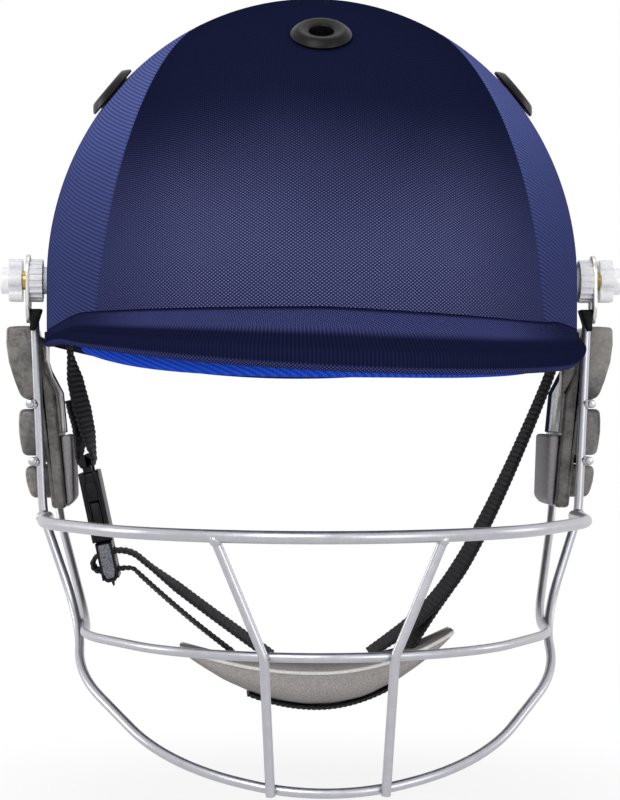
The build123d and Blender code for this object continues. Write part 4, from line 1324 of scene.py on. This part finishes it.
buckle = {
    "bevel": 1.0 * mm,
    "prongBevel": 0.3 * mm,
    "frontY": -12.5 * mm,
    "raise": 0.9 * mm,
    "sunk": 1.2 * mm,
    # outlines in mm: across the buckle, and down from its bar
    "rail": ((-3.85, 6.2), (-3.6, 4.9), (-2.5, 4.1), (-1.3, 4.9), (-1.5, 7.4), (-2.5, 9.5), (-2.6, 19.5),
             (-2.0, 24), (-2.3, 31.2), (-3.85, 31.2)),
    "panel": ((-1.9, 8.6), (1.9, 8.6), (1.9, 14.4), (-1.9, 14.4)),
    "plate": ((-1.9, 32.6), (1.9, 32.6), (2.2, 34), (2.2, 43.6), (1.4, 45.6), (-1.4, 45.6), (-2.2, 43.6),
              (-2.2, 34)),
    "foot": ((-3.2, 42.6), (3.2, 42.6), (3.0, 45.2), (1.8, 47.2), (-1.8, 47.2), (-3.0, 45.2)),
    "nib": ((-0.7, 46.8), (0.9, 46.8), (0.4, 49.4), (-0.1, 49.4)),
    "railBevel": 0.45 * mm,
    "panelInset": 0.5 * mm,
    "panelBevel": 0.3 * mm,
    "barEnd": 2.4,
    "barPoints": 24,
    "barInset": 0.2 * mm,
    "footBevel": 0.8 * mm,
    "nibDepth": 1.5 * mm,
    "nibBevel": 0.1 * mm,
    "plateRaise": 0.5 * mm,
    "plateSunk": 0.4 * mm,
    "plateBevel": 0.25 * mm,
    "shortFrom": 44.5 * mm,
    "shortBy": 0.6,
    "tongueY": -11.5 * mm,
}


def buckleSlab(bm, outline, low, high, bevel=0.0, segments=3):
    slab(bm, [buckleSpot(*point) for point in inMetres(outline)], low, high, bevel=bevel, segments=segments)


def bothFaces(low, high):
    # a layer on the front face, and the same one on the back
    return (low, high), (-high, -low)


def makeBuckle():
    roundedCopy("buckle_socket", buckle["bevel"], 3)
    for name in ("front", "back"):
        roundedCopy(f"buckle_prong_{name}", buckle["prongBevel"], material=materials["buckle_plastic"])
    tongue = roundedCopy("buckle_tongue", buckle["bevel"], 3)
    # its lower end drawn up to the length in the photo
    end = Vector(buckleSpot(0, buckle["shortFrom"]))
    way = (Vector(buckleSpot(0, 1)) - Vector(buckleSpot(0, 0))).normalized()
    for vert in tongue.data.vertices:
        past = (Vector((vert.co.x, vert.co.z)) - end).dot(way)
        if past > 0:
            vert.co -= Vector((way.x, 0, way.y)) * past * buckle["shortBy"]
    # shouldered rails, a panel and a round bar end on both faces of the socket
    bm = bmesh.new()
    turns = [math.tau * number / buckle["barPoints"] for number in range(buckle["barPoints"])]
    ring = [(buckle["barEnd"] * math.cos(turn), buckle["barEnd"] * math.sin(turn)) for turn in turns]
    for low, high in bothFaces(buckle["frontY"] - buckle["raise"], buckle["frontY"] + buckle["sunk"]):
        for way in (1, -1):
            rail = [(across * way, down) for across, down in buckle["rail"]]
            buckleSlab(bm, rail, low, high, buckle["railBevel"])
        inset = buckle["panelInset"]
        buckleSlab(bm, buckle["panel"], low + inset, high - inset, buckle["panelBevel"])
        buckleSlab(bm, ring, low + buckle["barInset"], high - buckle["barInset"])
    newPiece("buckle_rails", bm, "buckle_plastic", sharpAngle=40, body="harness")
    bm = bmesh.new()
    edge = buckle["tongueY"]
    buckleSlab(bm, buckle["foot"], edge, -edge, buckle["footBevel"])
    buckleSlab(bm, buckle["nib"], -buckle["nibDepth"], buckle["nibDepth"], buckle["nibBevel"])
    newPiece("buckle_foot", bm, "buckle_plastic", sharpAngle=40, body="harness")
    bm = bmesh.new()
    for low, high in bothFaces(edge - buckle["plateRaise"], edge + buckle["plateSunk"]):
        buckleSlab(bm, buckle["plate"], low, high, buckle["plateBevel"], 2)
    newPiece("buckle_plates", bm, "prong_plastic", sharpAngle=40, body="harness")


makeBuckle()
print("Buckle ready")


# Ear guards

guard = {
    "frontY": 3 * mm,
    "backY": 47 * mm,
    # outlines in mm in the front view, on the right side
    "plate": ((107.8, -21.2), (100.5, -88), (95.0, -88), (99.2, -43), (104.0, -33), (104.2, -21.2)),
    "lobes": (
        ((107.8, -17.2), (113.2, -17.2), (118.3, -17.6), (118.4, -24.3), (117.4, -31.3), (115.2, -38.5),
         (112.9, -44.4), (110.4, -46.0), (101.0, -45.5)),
        ((100.6, -49.5), (107, -49.5), (113.3, -49.5), (113.6, -54), (113.5, -58.5), (112.9, -63),
         (111.9, -67.6), (98.9, -67.6)),
        ((98.5, -71.6), (104.7, -71.6), (110.9, -71.6), (111.0, -74.7), (110.6, -77.8), (109.7, -80.9),
         (108.5, -84), (97.4, -84)),
    ),
    "pad": ((97.2, -59.7), (93.1, -59.7), (92.2, -84.8), (94.8, -87.8)),
    "ridge": ((106.2, -25.5), (104.9, -36), (101.5, -48), (98.2, -84)),
    "swell": ((105.6, -27), (103.4, -31), (101.6, -37), (98.0, -43.4), (96.5, -58.8), (99, -58.8),
              (101, -43)),
    "lining": ((103.9, -31), (103.0, -34), (98.2, -43.2), (96.7, -59.0), (97.8, -59.0), (99.3, -43),
               (105.0, -31)),
    "upper": ((105.5, -30.2), (98.4, -30.2), (97.6, -44), (103, -44)),
    "upperBack": 12 * mm,
    "swellBack": 32 * mm,
    "liningGap": 0.3 * mm,
    "plateBevel": 1.4 * mm,
    "lobeBevel": 1.9 * mm,
    "padBevel": 1.3 * mm,
    "upperBevel": 0.5 * mm,
    "liningBevel": 0.3 * mm,
    "ridgeRadius": 2.2 * mm,
    "ridgePoints": 14,
    "lobeInset": 3 * mm,
}


def guardSlab(bm, outline, low, high, side, bevel, segments=3):
    slab(bm, inMetres(outline), low, high, side, bevel, segments)


def makeEarGuards():
    low = guard["frontY"]
    high = guard["backY"]
    inset = guard["lobeInset"]
    for name, side in sides:
        bm = bmesh.new()
        guardSlab(bm, guard["plate"], low, high, side, guard["plateBevel"])
        for lobe in guard["lobes"]:
            guardSlab(bm, lobe, low + inset, high - inset, side, guard["lobeBevel"], 4)
        guardSlab(bm, guard["swell"], low + inset / 2, guard["swellBack"], side, guard["plateBevel"])
        if side > 0:
            guardSlab(bm, guard["upper"], low + inset / 2, guard["upperBack"], side, guard["upperBevel"])
        # the rolled front edge that catches the light
        ridge = [(side * x, low + guard["ridgeRadius"], z) for x, z in inMetres(guard["ridge"])]
        tube(bm, roundPath(ridge), guard["ridgeRadius"], guard["ridgePoints"])
        newPiece(f"guard_moulding_{name}", bm, "guard_plastic", (f"ear_guard_{name}",))
        bm = bmesh.new()
        guardSlab(bm, guard["pad"], low + inset, high - inset, side, guard["padBevel"], 4)
        pad = newPiece(f"ear_padding_{name}", bm, "ear_foam", (f"ear_pad_{name}",))
        bm = bmesh.new()
        guardSlab(bm, guard["lining"], guard["swellBack"] + guard["liningGap"], high - inset, side,
                  guard["liningBevel"], 2)
        newPiece(f"lining_cloth_{name}", bm, "lining_cloth", (f"ear_lining_{name}",))


makeEarGuards()
print("Ear guards ready")


# Carried-over pieces with a finish of their own

carried = {
    # bevel of each piece on both sides; 0 keeps its edges as they are
    "bevels": {
        "bracket": 0.25 * mm,
        "bracket_buffer": 0.4 * mm,
        "pivot_collar": 0.3 * mm,
        "pivot_washer": 0.15 * mm,
        "pivot_bolt": 0.0,
        "strap_rivet": 0.0,
        "ribbed_spacer": 0.0,
        "knob": 0.0,
        "knob_insert": 0.0,
        "side_bars": 0.7 * mm,
        "strut": 0.0,
    },
    "middle": ("perimeter_bar", "mid_bar", "upper_bar", "impact_liner"),
    "bufferNarrow": 0.6,
    "shellRollY": -5 * mm,
    "shellRollRun": 12 * mm,
}


def narrowDown(piece):
    # the rubber's inner side leans outwards below, as in the photo
    verts = piece.data.vertices
    top = max(vert.co.z for vert in verts)
    depth = top - min(vert.co.z for vert in verts)
    outer = max(abs(vert.co.x) for vert in verts)
    for vert in verts:
        share = carried["bufferNarrow"] * (top - vert.co.z) / depth
        vert.co.x += math.copysign((outer - abs(vert.co.x)) * share, vert.co.x)


def rollShell(shell):
    # the moulding under the peak's cloth rolls with it
    for vert in shell.data.vertices:
        if vert.co.z < peak["creaseZ"]:
            ahead = smoothShare(carried["shellRollY"] - vert.co.y, 0, carried["shellRollRun"])
            vert.co = vert.co.lerp(peakRoll(vert.co), ahead)


for node, bevel in carried["bevels"].items():
    for name, side in sides:
        piece = roundedCopy(f"{node}_{name}", bevel)
        if node == "bracket_buffer":
            narrowDown(piece)
for node in carried["middle"]:
    roundedCopy(node)
rollShell(roundedCopy("shell"))
print("Carried-over pieces ready")


# Comfort pads, swollen by a cloth simulation

pads = {
    "voxel": 4.5 * mm,
    "quality": 5,
    "pressure": 4,
    "stiffness": 15,
    "bending": 0.5,
    "frames": 20,
    "cap": 3 * mm,
    "linerGrow": -16.8 * mm,
    "linerGap": 1 * mm,
    "fill": 0.6,
}


def applyModifiers(piece):
    graph = bpy.context.evaluated_depsgraph_get()
    finished = bpy.data.meshes.new_from_object(piece.evaluated_get(graph))
    piece.modifiers.clear()
    piece.data = finished


def swell(piece):
    cloth = piece.modifiers.new("swell", "CLOTH")
    cloth.settings.quality = pads["quality"]
    cloth.settings.use_pressure = True
    cloth.settings.uniform_pressure_force = pads["pressure"]
    cloth.settings.effector_weights.gravity = 0
    cloth.settings.tension_stiffness = pads["stiffness"]
    cloth.settings.compression_stiffness = pads["stiffness"]
    cloth.settings.bending_stiffness = pads["bending"]
    cloth.point_cache.frame_start = 1
    cloth.point_cache.frame_end = pads["frames"]
    for number in range(1, pads["frames"] + 1):
        bpy.context.scene.frame_set(number)
    applyModifiers(piece)
    bpy.context.scene.frame_set(1)


def makePad(node):
    piece = newPiece(node + "_cloth", meshOf(node), "pad_cloth", (node,), sharpAngle=80)
    remesh = piece.modifiers.new("even", "REMESH")
    remesh.mode = "VOXEL"
    remesh.voxel_size = pads["voxel"]
    remesh.use_smooth_shade = True
    applyModifiers(piece)
    rest = [vert.co.copy() for vert in piece.data.vertices]
    swell(piece)
    # no further out than the cap allows, and never into the liner
    halfWidth, halfLength, height = (dome[name] + pads["linerGrow"] - pads["linerGap"]
                                     for name in ("halfWidth", "halfLength", "height"))
    for vert, start in zip(piece.data.vertices, rest):
        move = vert.co - start
        if move.length > pads["cap"]:
            vert.co = start + move.normalized() * pads["cap"]
        along = (vert.co.y - dome["centreY"]) / halfLength
        size = math.sqrt((vert.co.x / halfWidth) ** 2 + along ** 2 + (max(vert.co.z, 0) / height) ** 2)
        if size > 1:
            vert.co.x /= size
            vert.co.y = dome["centreY"] + (vert.co.y - dome["centreY"]) / size
            vert.co.z = vert.co.z / size if vert.co.z > 0 else vert.co.z
    for polygon in piece.data.polygons:
        polygon.use_smooth = True
    soften(piece)


for node in ("brow_pad", "rear_pad", "crown_pad", "side_pad_left", "side_pad_right"):
    makePad(node)
print("Pads ready")


# Weld beads where the wires cross

welds = {
    "lumps": 0.14,
    "lumpScale": 700,
    # place on the right side and radius, in mm
    "beads": (
        ((37.7, -132.9, -92.3), 2.3),
        ((103.4, -2.4, -91.0), 2.7),
        ((21.8, -129.6, -131.5), 1.9),
        ((106.9, -0.6, -47.5), 1.9),
        ((106.2, -0.6, -69.6), 1.9),
    ),
}


def makeWelds():
    # small lumpy beads between two wires that cross
    bm = bmesh.new()
    for side in (-1, 1):
        for (x, y, z), radius in welds["beads"]:
            ball = bmesh.ops.create_icosphere(bm, subdivisions=3, radius=radius * mm)["verts"]
            for vert in ball:
                vert.co *= 1 + noise.noise(vert.co * welds["lumpScale"]) * welds["lumps"]
            bmesh.ops.translate(bm, vec=(side * x * mm, y * mm, z * mm), verts=ball)
    newPiece("weld_beads", bm, "wire_steel", body="grille")


makeWelds()
print("Welds ready")
